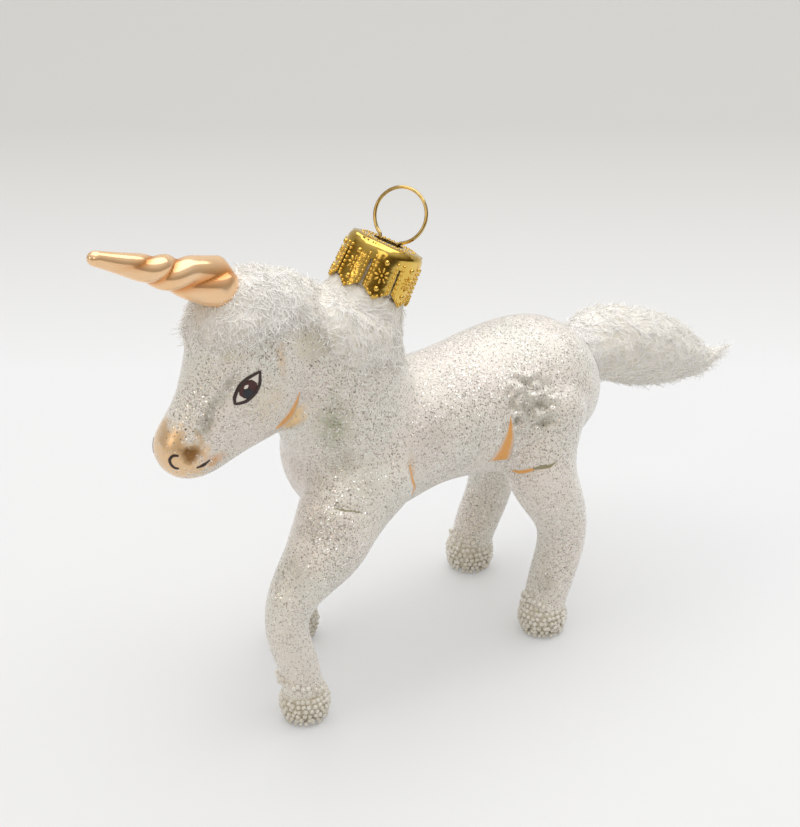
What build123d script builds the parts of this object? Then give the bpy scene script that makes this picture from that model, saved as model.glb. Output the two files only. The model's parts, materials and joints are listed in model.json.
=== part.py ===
"""Standing unicorn ornament in blown glass, with flocked mane and tail, bead hooves and a crown cap.

Millimetres. +X runs towards the head, +Y towards the figure's left and +Z up. The hooves stand on Z = 0.
"""
import os
from math import asin, cos, radians, sin, tan

from build123d import *

os.makedirs("parts", exist_ok=True)

# Glass and coats
GLASS_WALL = 1.0
FLOCK_DEPTH = 1.3
CUT_OVERRUN = 40.0

# Torso, a blown bubble along X
RUMP_PLACE = -31.6
TORSO_LENGTH = 62.6
TORSO_HEIGHT = 26.6
TORSO_WIDTH = 26.4
TORSO_CENTRE_HEIGHT = 42.4
# Each row: place along, half height, half width, rise of the centre
TORSO_SHARES = (
    (0.030, 0.235, 0.260, 0.000),
    (0.115, 0.425, 0.430, 0.020),
    (0.275, 0.515, 0.500, 0.010),
    (0.450, 0.450, 0.475, 0.005),
    (0.620, 0.430, 0.475, 0.015),
    (0.790, 0.475, 0.490, -0.015),
    (0.910, 0.400, 0.410, -0.035),
    (0.975, 0.220, 0.235, -0.050),
)
CHEST_RISE_SHARE = -0.055

# Neck, a blown column that stands on the front of the torso
NECK_HEIGHT = 38.0
NECK_DEPTH = 25.4
NECK_WIDTH_SHARE = 1.1628
NECK_PLACE_SHARE = 0.795
NECK_ROOT_DROP_SHARE = 0.20
# Each row: place up, half depth, half width, lead of the centre
NECK_SHARES = (
    (0.04, 0.300, 0.360, -0.03),
    (0.18, 0.475, 0.590, 0.00),
    (0.34, 0.482, 0.575, 0.08),
    (0.52, 0.485, 0.520, 0.15),
    (0.70, 0.490, 0.465, 0.23),
    (0.85, 0.395, 0.400, 0.36),
    (0.95, 0.230, 0.250, 0.50),
)
NECK_TOP_LEAD_SHARE = 0.55

# Head, a blown wedge that hangs forward of the neck's top
HEAD_LENGTH = 39.4
HEAD_DEPTH = 26.0
HEAD_WIDTH = 17.2
HEAD_DIP = 46.0
HEAD_LEAD_SHARE = 0.40
HEAD_LIFT_SHARE = 0.045
# Each row: place along, half depth, half width, rise of the centre
HEAD_SHARES = (
    (0.04, 0.150, 0.200, 0.035),
    (0.115, 0.300, 0.345, 0.055),
    (0.240, 0.435, 0.450, 0.050),
    (0.395, 0.505, 0.500, 0.020),
    (0.525, 0.455, 0.490, -0.055),
    (0.650, 0.365, 0.420, -0.070),
    (0.780, 0.285, 0.350, -0.050),
    (0.900, 0.220, 0.315, -0.015),
    (0.970, 0.135, 0.210, 0.000),
)
MUZZLE_RISE_SHARE = 0.005

# Horn, a solid cane on the forehead that coils about its own line
HORN_LENGTH = 29.6
HORN_THICKNESS = 9.8
HORN_TIP_THICKNESS = 2.6
HORN_RISE = 24.6
HORN_PLACE_SHARE = 0.205
HORN_SEAT_SHARE = 0.405
HORN_SINK = 2.4
HORN_STEPS = 20
HORN_TWIST = 620.0
HORN_TWIST_EASE = 1.3
HORN_COIL_SHARE = 0.20
HORN_ROOT_SHARE = 0.20
HORN_PINCH_SHARE = 0.50

# Pike, the cut neck of the blowing tube
PIKE_LEAN = 29.4
PIKE_OUTER_DIAMETER = 11.8
PIKE_WALL = 1.0
PIKE_HEIGHT = 14.5
PIKE_LEAD_SHARE = 0.024
PIKE_RISE_SHARE = 0.745

# Crown cap, stamped sheet over the pike
CAP_SHEET = 0.3
CAP_HEIGHT = 9.2
CAP_TOP_DIAMETER = 13.2
CAP_SKIRT_DIAMETER = 14.0
CAP_SHOULDER_RADIUS = 1.6
CAP_HOLE_DIAMETER = 5.4
CAP_SEAT_GAP = 0.1
PETALS = 8
PETAL_POINT_HEIGHT = 2.0
PETAL_SLIT = 0.4
PETAL_SLIT_HEIGHT = 6.2

# Hanger, one bent wire with sprung legs in the pike
WIRE_DIAMETER = 0.7
LOOP_DIAMETER = 9.4
LOOP_BEND_RADIUS = 0.9
LEG_GAP = 3.6
WIRE_LEG_LENGTH = 12.5
WIRE_LEG_CLEARANCE = 0.12
WIRE_LEG_STRAIGHT = 2.4
WIRE_LEG_BEND_RADIUS = 3.0
LOOP_TURN = 115.0

# Legs, drawn hollow, cut by the torso that they are fused to
LEG_THICKNESS = 8.0
SOLE_DEPTH = 1.1
FRONT_SPREAD = 23.0
HIND_SPREAD = 25.6
FRONT_ROOT_SHARE = 0.835
HIND_ROOT_SHARE = 0.235
LEG_ROOT_OUT_SHARE = 0.20
FRONT_ROOT_DROP_SHARE = 0.0
HIND_ROOT_DROP_SHARE = -0.13
# Each row: drop, lead, way out from root to hoof, radius
LEG_SHARES = {
    "front_left": (
        (0.000, 0.000, 0.00, 0.75),
        (0.130, 0.070, 0.35, 0.95),
        (0.270, 0.250, 0.75, 0.82),
        (0.390, 0.405, 0.95, 0.61),
        (0.530, 0.480, 1.00, 0.48),
        (0.680, 0.455, 1.00, 0.46),
        (0.835, 0.415, 1.00, 0.45),
        (0.950, 0.400, 1.00, 0.42),
    ),
    "front_right": (
        (0.000, -0.120, 0.00, 0.70),
        (0.130, -0.125, 0.35, 0.82),
        (0.280, -0.110, 0.72, 0.70),
        (0.420, -0.070, 0.94, 0.57),
        (0.560, -0.005, 1.00, 0.48),
        (0.700, 0.050, 1.00, 0.46),
        (0.840, 0.085, 1.00, 0.45),
        (0.950, 0.090, 1.00, 0.42),
    ),
    "hind_left": (
        (0.000, 0.000, 0.00, 0.85),
        (0.140, 0.035, 0.40, 0.96),
        (0.290, 0.075, 0.72, 0.81),
        (0.430, 0.040, 0.92, 0.70),
        (0.570, -0.005, 1.00, 0.57),
        (0.705, 0.010, 1.00, 0.53),
        (0.835, 0.055, 1.00, 0.50),
        (0.950, 0.080, 1.00, 0.46),
    ),
    "hind_right": (
        (0.000, 0.000, 0.00, 0.85),
        (0.140, 0.000, 0.40, 1.02),
        (0.290, -0.015, 0.72, 0.88),
        (0.430, -0.050, 0.92, 0.72),
        (0.580, -0.090, 1.00, 0.57),
        (0.720, -0.060, 1.00, 0.53),
        (0.850, 0.000, 1.00, 0.50),
        (0.950, 0.025, 1.00, 0.46),
    ),
}

# Hooves, cups of small glass beads round the leg ends
HOOF_DIAMETER = 9.2
HOOF_HEIGHT = 6.4
HOOF_SOLE_SHARE = 0.76
HOOF_SWELL_SHARE = 0.36
HOOF_TOP_SHARE = 0.88

# Tail, a drawn plume of solid glass under flock
TAIL_LENGTH = 44.5
TAIL_THICKNESS = 14.0
TAIL_ROOT_SHARE = 0.130
TAIL_ROOT_RISE_SHARE = 0.215
# Each row: way back, drop, radius of the flocked plume
TAIL_SHARES = (
    (0.00, 0.000, 0.28),
    (0.09, 0.005, 0.36),
    (0.21, 0.030, 0.46),
    (0.37, 0.078, 0.50),
    (0.52, 0.140, 0.485),
    (0.66, 0.200, 0.385),
    (0.77, 0.255, 0.245),
    (0.86, 0.272, 0.160),
    (0.94, 0.262, 0.100),
)
TAIL_TIP_DROP_SHARE = 0.245
TAIL_CORE_SHARE = 0.80

# Flock edge, a slanted line round the poll and neck
FLOCK_EDGE_SLOPE = 20.0
FLOCK_EDGE_SHARE = 0.665
FLOCK_CAP_GAP = 0.4

LATERAL = Vector(0, 1, 0)


def oval(plane, half_width, half_height):
    """One oval section on a plane."""
    with BuildSketch(plane, mode=Mode.PRIVATE) as section:
        Ellipse(half_width, half_height)
    return section.sketch


def blown(base, length, height, width, shares, end_rise, skin):
    """Loft ovals along a plane's normal between two closing points, with a skin added all round."""
    sections = [Vertex(*base.from_local_coords((0, 0, -skin)))]
    for along, half_height, half_width, rise in shares:
        place = base.from_local_coords((0, rise * height, along * length))
        section_plane = Plane(place, base.x_dir, base.z_dir)
        sections.append(oval(section_plane, half_width * width + skin, half_height * height + skin))
    sections.append(Vertex(*base.from_local_coords((0, end_rise * height, length + skin))))
    loft(sections)


def drawn(points, radii, skin):
    """Loft circles square to a bent line, from a flat start to a closing point at its far end."""
    far_end = points[-1] + (points[-1] - points[-2]).normalized() * skin
    befores = [points[0], *points]
    sections = []
    for before, here, after, radius in zip(befores, points, points[1:], radii):
        square = Plane(here, LATERAL, (after - before).normalized())
        sections.append(oval(square, radius + skin, radius + skin))
    loft([*sections, Vertex(*far_end)])


def piece(builder, name):
    """Label a finished piece and write its file."""
    builder.part.label = name
    export_step(builder.part, f"parts/{name}.step")


# Places that the pieces share, and the neck's width, which follows the head's
NECK_WIDTH = NECK_WIDTH_SHARE * HEAD_WIDTH
torso_base = Plane((RUMP_PLACE, 0, TORSO_CENTRE_HEIGHT), LATERAL, (1, 0, 0))
neck_root_height = TORSO_CENTRE_HEIGHT - NECK_ROOT_DROP_SHARE * TORSO_HEIGHT
neck_base = Plane((RUMP_PLACE + NECK_PLACE_SHARE * TORSO_LENGTH, 0, neck_root_height), -LATERAL, (0, 0, 1))
head_seat = (0, HEAD_LEAD_SHARE * NECK_DEPTH, NECK_HEIGHT * (1 + HEAD_LIFT_SHARE))
head_origin = neck_base.from_local_coords(head_seat)
head_axis = Vector(cos(radians(HEAD_DIP)), 0, -sin(radians(HEAD_DIP)))
head_base = Plane(head_origin, LATERAL, head_axis)
pike_axis = Vector(-sin(radians(PIKE_LEAN)), 0, cos(radians(PIKE_LEAN)))
pike_origin = neck_base.from_local_coords((0, PIKE_LEAD_SHARE * NECK_DEPTH, PIKE_RISE_SHARE * NECK_HEIGHT))
pike_base = Plane(pike_origin, LATERAL.cross(pike_axis), pike_axis)


def torso_form(skin):
    """The torso's closed form, grown or shrunk by a skin."""
    blown(torso_base, TORSO_LENGTH, TORSO_HEIGHT, TORSO_WIDTH, TORSO_SHARES, CHEST_RISE_SHARE, skin)


def neck_form(skin):
    """The neck's closed form, grown or shrunk by a skin."""
    blown(neck_base, NECK_HEIGHT, NECK_DEPTH, NECK_WIDTH, NECK_SHARES, NECK_TOP_LEAD_SHARE, skin)


def head_form(skin):
    """The head's closed form, grown or shrunk by a skin."""
    blown(head_base, HEAD_LENGTH, HEAD_DEPTH, HEAD_WIDTH, HEAD_SHARES, MUZZLE_RISE_SHARE, skin)


with BuildPart() as torso_body:
    torso_form(0)

with BuildPart() as torso_hollow:
    torso_form(-GLASS_WALL)

with BuildPart() as neck_body:
    neck_form(0)

with BuildPart() as neck_hollow:
    neck_form(-GLASS_WALL)

with BuildPart() as head_body:
    head_form(0)

with BuildPart() as head_hollow:
    head_form(-GLASS_WALL)

# The torso, open into the neck where the bubble runs on
with BuildPart() as torso:
    add(torso_body.part)
    add(torso_hollow.part, mode=Mode.SUBTRACT)
    add(neck_hollow.part, mode=Mode.SUBTRACT)
piece(torso, "torso")

# The neck, fused on the torso, open below and bored for the pike
with BuildPart() as neck:
    add(neck_body.part)
    add(torso_body.part, mode=Mode.SUBTRACT)
    with BuildSketch(pike_base):
        Circle(PIKE_OUTER_DIAMETER / 2)
    extrude(amount=CUT_OVERRUN, mode=Mode.SUBTRACT)
    add(neck_hollow.part, mode=Mode.SUBTRACT)
piece(neck, "neck")

# The head, fused on the neck
with BuildPart() as head:
    add(head_body.part)
    add(head_hollow.part, mode=Mode.SUBTRACT)
    add(neck_body.part, mode=Mode.SUBTRACT)
    add(torso_body.part, mode=Mode.SUBTRACT)
piece(head, "head")

# The pike, a tube from inside the neck up to the cap
pike_bore_radius = PIKE_OUTER_DIAMETER / 2 - PIKE_WALL
with BuildPart() as pike:
    with BuildSketch(pike_base):
        Circle(PIKE_OUTER_DIAMETER / 2)
        Circle(pike_bore_radius, mode=Mode.SUBTRACT)
    extrude(amount=PIKE_HEIGHT)
piece(pike, "pike")

# The horn, circles that wind round the line of a tapering cane
horn_axis = Vector(cos(radians(HORN_RISE)), 0, sin(radians(HORN_RISE)))
horn_upward = horn_axis.cross(LATERAL)
horn_seat = (0, HORN_SEAT_SHARE * HEAD_DEPTH, HORN_PLACE_SHARE * HEAD_LENGTH)
horn_root = head_base.from_local_coords(horn_seat) - horn_axis * HORN_SINK
with BuildPart() as horn_body:
    turns = []
    for step in range(HORN_STEPS + 1):
        along_share = step / HORN_STEPS
        pinch = HORN_PINCH_SHARE * max(0, 1 - along_share / HORN_ROOT_SHARE) ** 2
        taper = HORN_THICKNESS + (HORN_TIP_THICKNESS - HORN_THICKNESS) * along_share
        radius = taper / 2 * (1 - pinch)
        coil = HORN_COIL_SHARE * radius * (1 - along_share)
        spin = radians(HORN_TWIST * (1 - (1 - along_share) ** HORN_TWIST_EASE))
        aside = LATERAL * (coil * cos(spin)) + horn_upward * (coil * sin(spin))
        turn = Plane(horn_root + horn_axis * (HORN_LENGTH * along_share) + aside, LATERAL, horn_axis)
        turns.append(oval(turn, radius - coil, radius - coil))
    turns.append(Vertex(*(horn_root + horn_axis * (HORN_LENGTH + HORN_TIP_THICKNESS / 2))))
    loft(turns)

with BuildPart() as horn:
    add(horn_body.part)
    add(head_body.part, mode=Mode.SUBTRACT)
piece(horn, "horn")

# The legs, each drawn down to its hoof
leg_roots = {
    "front": (FRONT_ROOT_SHARE, FRONT_ROOT_DROP_SHARE),
    "hind": (HIND_ROOT_SHARE, HIND_ROOT_DROP_SHARE),
}
leg_spreads = {"front": FRONT_SPREAD, "hind": HIND_SPREAD}


def leg_line(name):
    """The bent centre line of a leg, from inside the torso to its closing point, and its radii."""
    end, hand = name.split("_")
    outward = 1 if hand == "left" else -1
    root_share, drop_share = leg_roots[end]
    root_height = TORSO_CENTRE_HEIGHT - drop_share * TORSO_HEIGHT
    root_out = LEG_ROOT_OUT_SHARE * TORSO_WIDTH
    reach = leg_spreads[end] / 2 - root_out
    fall = root_height - SOLE_DEPTH
    points = []
    radii = []
    for drop, lead, out, radius in LEG_SHARES[name]:
        place_x = RUMP_PLACE + root_share * TORSO_LENGTH + lead * fall
        place_y = outward * (root_out + out * reach)
        points.append(Vector(place_x, place_y, root_height - drop * fall))
        radii.append(radius * LEG_THICKNESS)
    points.append(Vector(points[-1].X, points[-1].Y, SOLE_DEPTH))
    return points, radii


for leg_name in LEG_SHARES:
    line, radii = leg_line(leg_name)
    with BuildPart() as leg_body:
        drawn(line, radii, 0)
    with BuildPart() as leg_hollow:
        drawn(line, radii, -GLASS_WALL)
    with BuildPart() as leg:
        add(leg_body.part)
        add(torso_body.part, mode=Mode.SUBTRACT)
        add(leg_hollow.part, mode=Mode.SUBTRACT)
    piece(leg, f"leg_{leg_name}")
    hoof_radius = HOOF_DIAMETER / 2
    foot_side = Plane((line[-1].X, line[-1].Y, 0), (1, 0, 0), -LATERAL)
    with BuildPart() as hoof:
        with BuildSketch(foot_side):
            with BuildLine():
                Polyline((0, HOOF_HEIGHT), (0, 0), (hoof_radius * HOOF_SOLE_SHARE, 0))
                Spline(
                    (hoof_radius * HOOF_SOLE_SHARE, 0),
                    (hoof_radius, HOOF_HEIGHT * HOOF_SWELL_SHARE),
                    (hoof_radius * HOOF_TOP_SHARE, HOOF_HEIGHT),
                )
                Line((hoof_radius * HOOF_TOP_SHARE, HOOF_HEIGHT), (0, HOOF_HEIGHT))
            make_face()
        revolve(axis=Axis(foot_side.origin, (0, 0, 1)))
        add(leg_body.part, mode=Mode.SUBTRACT)
    piece(hoof, f"hoof_beads_{leg_name}")

# The tail, a plume of glass inside its flock
tail_seat = (0, TAIL_ROOT_RISE_SHARE * TORSO_HEIGHT, TAIL_ROOT_SHARE * TORSO_LENGTH)
tail_root = torso_base.from_local_coords(tail_seat)
tail_line = [tail_root - Vector(back, 0, drop) * TAIL_LENGTH for back, drop, _ in TAIL_SHARES]
tail_line.append(tail_root - Vector(1, 0, TAIL_TIP_DROP_SHARE) * TAIL_LENGTH)
tail_radii = [radius * TAIL_THICKNESS for _, _, radius in TAIL_SHARES]
tail_cores = [radius * TAIL_CORE_SHARE for radius in tail_radii]

with BuildPart() as tail_body:
    drawn(tail_line, tail_cores, 0)

with BuildPart() as tail:
    add(tail_body.part)
    add(torso_body.part, mode=Mode.SUBTRACT)
piece(tail, "tail")

with BuildPart() as tail_flock:
    drawn(tail_line[:-1], tail_radii[:-1], 0)
    add(tail_body.part, mode=Mode.SUBTRACT)
    add(torso_body.part, mode=Mode.SUBTRACT)
piece(tail_flock, "tail_flock")

# The crown cap, a spun cup with a rim that flares a little, cut into pointed petals
cap_top = pike_base.offset(PIKE_HEIGHT + CAP_SEAT_GAP)
cap_side = Plane(cap_top.origin, cap_top.x_dir, -cap_top.y_dir)
cap_line = Axis(cap_top.origin, pike_axis)
skirt_drop = CAP_HEIGHT - CAP_SHEET
with BuildPart() as cap:
    with BuildSketch(cap_side):
        with BuildLine():
            Polyline(
                (CAP_HOLE_DIAMETER / 2, 0),
                (CAP_HOLE_DIAMETER / 2, CAP_SHEET),
                (CAP_TOP_DIAMETER / 2, CAP_SHEET),
                (CAP_SKIRT_DIAMETER / 2, -skirt_drop),
                (CAP_SKIRT_DIAMETER / 2 - CAP_SHEET, -skirt_drop),
                (CAP_TOP_DIAMETER / 2 - CAP_SHEET, 0),
                close=True,
            )
        make_face()
        outer_corner = vertices().sort_by_distance((CAP_TOP_DIAMETER / 2, CAP_SHEET))[0]
        inner_corner = vertices().sort_by_distance((CAP_TOP_DIAMETER / 2 - CAP_SHEET, 0))[0]
        fillet(outer_corner, CAP_SHOULDER_RADIUS)
        fillet(inner_corner, CAP_SHOULDER_RADIUS - CAP_SHEET)
    revolve(axis=cap_line)
    petal_half = CAP_SKIRT_DIAMETER / 2 * tan(radians(180 / PETALS))
    for petal in range(PETALS):
        swing = radians(360 / PETALS * (petal + 0.5))
        outward = cap_top.x_dir * cos(swing) + cap_top.y_dir * sin(swing)
        slit_face = Plane(cap_top.origin, pike_axis.cross(outward), outward)
        with BuildSketch(slit_face):
            with Locations((0, -skirt_drop + PETAL_SLIT_HEIGHT / 2)):
                Rectangle(PETAL_SLIT, PETAL_SLIT_HEIGHT)
            with BuildLine():
                Polyline(
                    (-petal_half, -skirt_drop),
                    (0, -skirt_drop + PETAL_POINT_HEIGHT),
                    (petal_half, -skirt_drop),
                    close=True,
                )
            make_face()
        extrude(amount=CAP_SKIRT_DIAMETER, mode=Mode.SUBTRACT)
piece(cap, "cap")

# The hanger, a loop that narrows into two legs sprung against the pike's bore
loop_radius = LOOP_DIAMETER / 2
bend_swing = asin((LEG_GAP / 2 + LOOP_BEND_RADIUS) / (loop_radius + LOOP_BEND_RADIUS))
loop_rise = (loop_radius + LOOP_BEND_RADIUS) * cos(bend_swing)
loop_meet = (loop_radius * sin(bend_swing), loop_rise - loop_radius * cos(bend_swing))
bend_half = radians(45) - bend_swing / 2
bend_middle = (LEG_GAP / 2 + LOOP_BEND_RADIUS * (1 - cos(bend_half)), LOOP_BEND_RADIUS * sin(bend_half))
leg_foot = pike_bore_radius - WIRE_DIAMETER / 2 - WIRE_LEG_CLEARANCE
loop_across = cap_top.y_dir * sin(radians(LOOP_TURN)) + cap_top.x_dir * cos(radians(LOOP_TURN))
loop_face = Plane(cap_top.offset(CAP_SHEET).origin, loop_across, loop_across.cross(pike_axis))
with BuildPart() as hanger:
    with BuildLine(loop_face) as wire:
        right_leg = FilletPolyline(
            (leg_foot, -WIRE_LEG_LENGTH),
            (LEG_GAP / 2, -WIRE_LEG_STRAIGHT),
            (LEG_GAP / 2, 0),
            radius=WIRE_LEG_BEND_RADIUS,
        )
        ThreePointArc((LEG_GAP / 2, 0), bend_middle, loop_meet)
        ThreePointArc(loop_meet, (0, loop_rise + loop_radius), (-loop_meet[0], loop_meet[1]))
        ThreePointArc((-loop_meet[0], loop_meet[1]), (-bend_middle[0], bend_middle[1]), (-LEG_GAP / 2, 0))
        FilletPolyline(
            (-LEG_GAP / 2, 0),
            (-LEG_GAP / 2, -WIRE_LEG_STRAIGHT),
            (-leg_foot, -WIRE_LEG_LENGTH),
            radius=WIRE_LEG_BEND_RADIUS,
        )
    with BuildSketch(Plane(right_leg @ 0, z_dir=right_leg % 0)):
        Circle(WIRE_DIAMETER / 2)
    sweep(path=wire.wires()[0])
piece(hanger, "hanger")

# The flock on the poll and neck, a coat above one slanted edge
edge_rise = Vector(-sin(radians(FLOCK_EDGE_SLOPE)), 0, cos(radians(FLOCK_EDGE_SLOPE)))
edge_place = neck_base.from_local_coords((0, 0, FLOCK_EDGE_SHARE * NECK_HEIGHT))
flock_edge = Plane(edge_place, LATERAL, edge_rise)

cap_room_radius = CAP_SKIRT_DIAMETER / 2 + FLOCK_CAP_GAP
cap_room_base = cap_top.offset(-skirt_drop - FLOCK_CAP_GAP)

with BuildPart() as mane_body:
    neck_form(FLOCK_DEPTH)

with BuildPart() as mane_flock:
    add(mane_body.part)
    split(bisect_by=flock_edge, keep=Keep.TOP)
    add(neck_body.part, mode=Mode.SUBTRACT)
    add(head_body.part, mode=Mode.SUBTRACT)
    with BuildSketch(pike_base):
        Circle(PIKE_OUTER_DIAMETER / 2)
    extrude(amount=CUT_OVERRUN, mode=Mode.SUBTRACT)
    with BuildSketch(cap_room_base):
        Circle(cap_room_radius)
    extrude(amount=CUT_OVERRUN, mode=Mode.SUBTRACT)
piece(mane_flock, "mane_flock")

with BuildPart() as forelock_flock:
    head_form(FLOCK_DEPTH)
    split(bisect_by=flock_edge, keep=Keep.TOP)
    add(head_body.part, mode=Mode.SUBTRACT)
    add(mane_body.part, mode=Mode.SUBTRACT)
    add(horn_body.part, mode=Mode.SUBTRACT)
piece(forelock_flock, "forelock_flock")
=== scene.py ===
"""Standing unicorn ornament in lacquered blown glass, with flock, bead hooves and a gilt crown cap.

Metres. +X runs towards the head, +Y towards the figure's left and +Z up. Numbers in tables, and those that
are multiplied by MM, are in millimetres.
"""
import json
from functools import partial
from math import cos, pi, radians, sin

import bpy
import numpy as np
from bpy.props import FloatProperty, FloatVectorProperty, IntProperty, PointerProperty
from bpy.types import Operator, Panel, PropertyGroup
from mathutils import Matrix, Vector, noise


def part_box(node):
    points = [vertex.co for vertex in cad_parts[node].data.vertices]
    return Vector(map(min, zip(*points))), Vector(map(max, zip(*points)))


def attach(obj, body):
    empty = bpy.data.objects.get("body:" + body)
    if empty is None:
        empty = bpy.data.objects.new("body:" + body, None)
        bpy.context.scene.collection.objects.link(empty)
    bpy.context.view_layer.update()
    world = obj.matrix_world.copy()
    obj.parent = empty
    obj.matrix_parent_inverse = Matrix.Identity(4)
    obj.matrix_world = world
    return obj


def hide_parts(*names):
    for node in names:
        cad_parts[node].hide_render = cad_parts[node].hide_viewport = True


bl_info = {
    "name": "Unicorn ornament",
    "version": (1, 0, 0),
    "blender": (4, 5, 0),
    "location": "View3D > Sidebar > Ornament",
    "description": "Blown-glass unicorn with a gold horn, white flock, bead hooves and a gilt crown cap",
    "category": "Add Mesh",
}

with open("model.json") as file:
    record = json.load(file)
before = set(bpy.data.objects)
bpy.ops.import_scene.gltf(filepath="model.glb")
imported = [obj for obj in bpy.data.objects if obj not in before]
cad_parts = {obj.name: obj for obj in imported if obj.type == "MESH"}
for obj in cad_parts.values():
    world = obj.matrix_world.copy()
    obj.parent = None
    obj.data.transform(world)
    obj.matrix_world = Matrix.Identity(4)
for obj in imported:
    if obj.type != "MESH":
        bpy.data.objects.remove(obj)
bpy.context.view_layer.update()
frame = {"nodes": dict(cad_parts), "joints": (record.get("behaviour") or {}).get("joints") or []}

MM = 0.001
LEFT = np.array((0.0, 1.0, 0.0))
UP = np.array((0.0, 0.0, 1.0))
LEGS = ("front_left", "front_right", "hind_left", "hind_right")
GLASS_NODES = ("torso", "neck", "head", "pike") + tuple(f"leg_{leg}" for leg in LEGS)
SWIVEL = next(j for j in frame["joints"] if j["name"] == "hanger_swivel")
PIKE_AXIS = np.array(SWIVEL["axis"], float)
PIKE_TURN = Vector(PIKE_AXIS).to_track_quat("Z", "Y").to_euler()
PIKE_LENGTH = 14.9 * MM
CAP_FRONT = np.cross(LEFT, PIKE_AXIS)
CAP_TOP = np.array(SWIVEL["pos_m"], float)


def linear(code):
    """An sRGB hex code as linear RGBA."""
    values = [int(code[i:i + 2], 16) / 255 for i in (1, 3, 5)]
    return [v / 12.92 if v <= 0.04045 else ((v + 0.055) / 1.055) ** 2.4 for v in values] + [1.0]


def colour(code, name, description):
    """A colour that a user may change."""
    return FloatVectorProperty(name=name, description=description, subtype="COLOR", size=4, min=0, max=1,
                               default=linear(code))


def length(mm, name, description):
    """A length that a user may change."""
    return FloatProperty(name=name, description=description, default=mm * MM, unit="LENGTH", precision=5)


class GlassSettings(PropertyGroup):
    grain: length(0.5, "Skin grain", "Spacing of the fused glass skin's faces")
    softening: IntProperty(name="Softening", description="Passes that melt the joints together", default=14)
    web_place: FloatVectorProperty(name="Web", description="Centre of the glass web under the jaw",
                                   unit="LENGTH", default=(34.0 * MM, 0.0, 54.8 * MM))
    web_size: FloatVectorProperty(name="Web size", description="Half sizes of the glass web",
                                  unit="LENGTH", default=(4.2 * MM, 6.2 * MM, 3.9 * MM))
    flake: length(0.20, "Glitter flake", "Width of one glitter flake")
    lacquer: colour("#F2ECE2", "Lacquer", "Satin white lacquer over silvered glass")
    # Painted shade: the darkest flake colour stands for flakes turned away from the light
    shade: colour("#B5AEA5", "Flake shade", "Flakes that turn away from the light")


class HornSettings(PropertyGroup):
    reach: length(28.8, "Length", "Length of the horn from inside the forehead")
    thickness: length(9.4, "Thickness", "Thickness at the foot")
    gold: colour("#FFCB91", "Gold", "Peach-gold lacquer")
    # Painted reflection: the deeper orange in the creases between the turns
    painted_crease_reflection: colour("#E08A30", "Crease", "Lacquer that pooled between the turns")


class FlockSettings(PropertyGroup):
    depth: length(1.1, "Depth", "Depth of the flock coat")
    fibre_length: length(3.4, "Fibre length", "Length of one fibre")
    fibre_width: length(0.16, "Fibre width", "Thickness of one fibre")
    white: colour("#FFFEFC", "Flock", "Matted white viscose fibre")


class HoofSettings(PropertyGroup):
    bead: length(0.94, "Bead", "Diameter of one glass bead")
    cream: colour("#FBF9F3", "Bead colour", "Cream-white glass beads")


class CapSettings(PropertyGroup):
    dot: length(0.56, "Dot", "Width of one embossed dot")
    turn: FloatProperty(name="Petal turn", description="Turn of the cap on its pike", default=radians(14),
                        subtype="ANGLE")
    gilt: colour("#DDAE3E", "Gilt", "Gold lacquer on stamped tinplate")
    wire: colour("#E2CA8C", "Wire", "Polished brass wire")


class StageSettings(PropertyGroup):
    paper: colour("#E2E3E4", "Paper", "Seamless paper under the ornament")
    # Painted shade: the paper's colour where it runs out of the light
    far_paper_painted_shade: colour("#C5C4C1", "Far paper", "The same paper where it runs out of the light")


def deselect():
    """Leave nothing selected, in object mode."""
    if bpy.context.object and bpy.context.object.mode != "OBJECT":
        bpy.ops.object.mode_set(mode="OBJECT")
    bpy.ops.object.select_all(action="DESELECT")


def take(piece):
    """Select one piece alone."""
    deselect()
    piece.select_set(True)
    bpy.context.view_layer.objects.active = piece


def linked(name, mesh):
    """A new piece in the scene, from a mesh."""
    piece = bpy.data.objects.new(name, mesh)
    piece.data.name = name
    bpy.context.scene.collection.objects.link(piece)
    return piece


def made(primitive, **settings):
    """A new piece from a primitive, with its place and turn moved into its mesh."""
    deselect()
    primitive(**settings)
    if "location" in settings:
        bpy.ops.object.transform_apply(location=True, rotation=True, scale=True)
    return bpy.context.object


def edit(piece, operator, chosen=None, domain="VERT", **settings):
    """Run one edit-mode operator on a piece: on all of it, or on the chosen vertices or edges."""
    take(piece)
    bpy.ops.object.mode_set(mode="EDIT")
    bpy.ops.mesh.select_mode(type=domain)
    bpy.ops.mesh.select_all(action="SELECT" if chosen is None else "DESELECT")
    if chosen is not None:
        bpy.ops.object.mode_set(mode="OBJECT")
        rows = piece.data.vertices if domain == "VERT" else piece.data.edges
        rows.foreach_set("select", chosen)
        bpy.ops.object.mode_set(mode="EDIT")
    operator(**settings)
    bpy.ops.object.mode_set(mode="OBJECT")


def copy_of(node, name):
    """A separate copy of a CAD node's mesh, with its loose triangles merged."""
    piece = linked(name, frame["nodes"][node].data.copy())
    edit(piece, bpy.ops.mesh.remove_doubles, threshold=1e-6)
    piece.data.materials.clear()
    return piece


def joined(pieces, name):
    """Several pieces as one object."""
    take(pieces[0])
    for piece in pieces:
        piece.select_set(True)
    bpy.ops.object.join()
    pieces[0].name = pieces[0].data.name = name
    return pieces[0]


def places(piece):
    """The vertex places of a piece as an array."""
    co = np.empty(len(piece.data.vertices) * 3)
    piece.data.vertices.foreach_get("co", co)
    return co.reshape(-1, 3)


def put(piece, co):
    """Set the vertex places of a piece."""
    piece.data.vertices.foreach_set("co", np.ascontiguousarray(co, dtype=np.float32).ravel())
    piece.data.update()


def normals(piece):
    """The vertex normals of a piece as an array."""
    out = np.empty(len(piece.data.vertices) * 3)
    piece.data.vertices.foreach_get("normal", out)
    return out.reshape(-1, 3)


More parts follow.
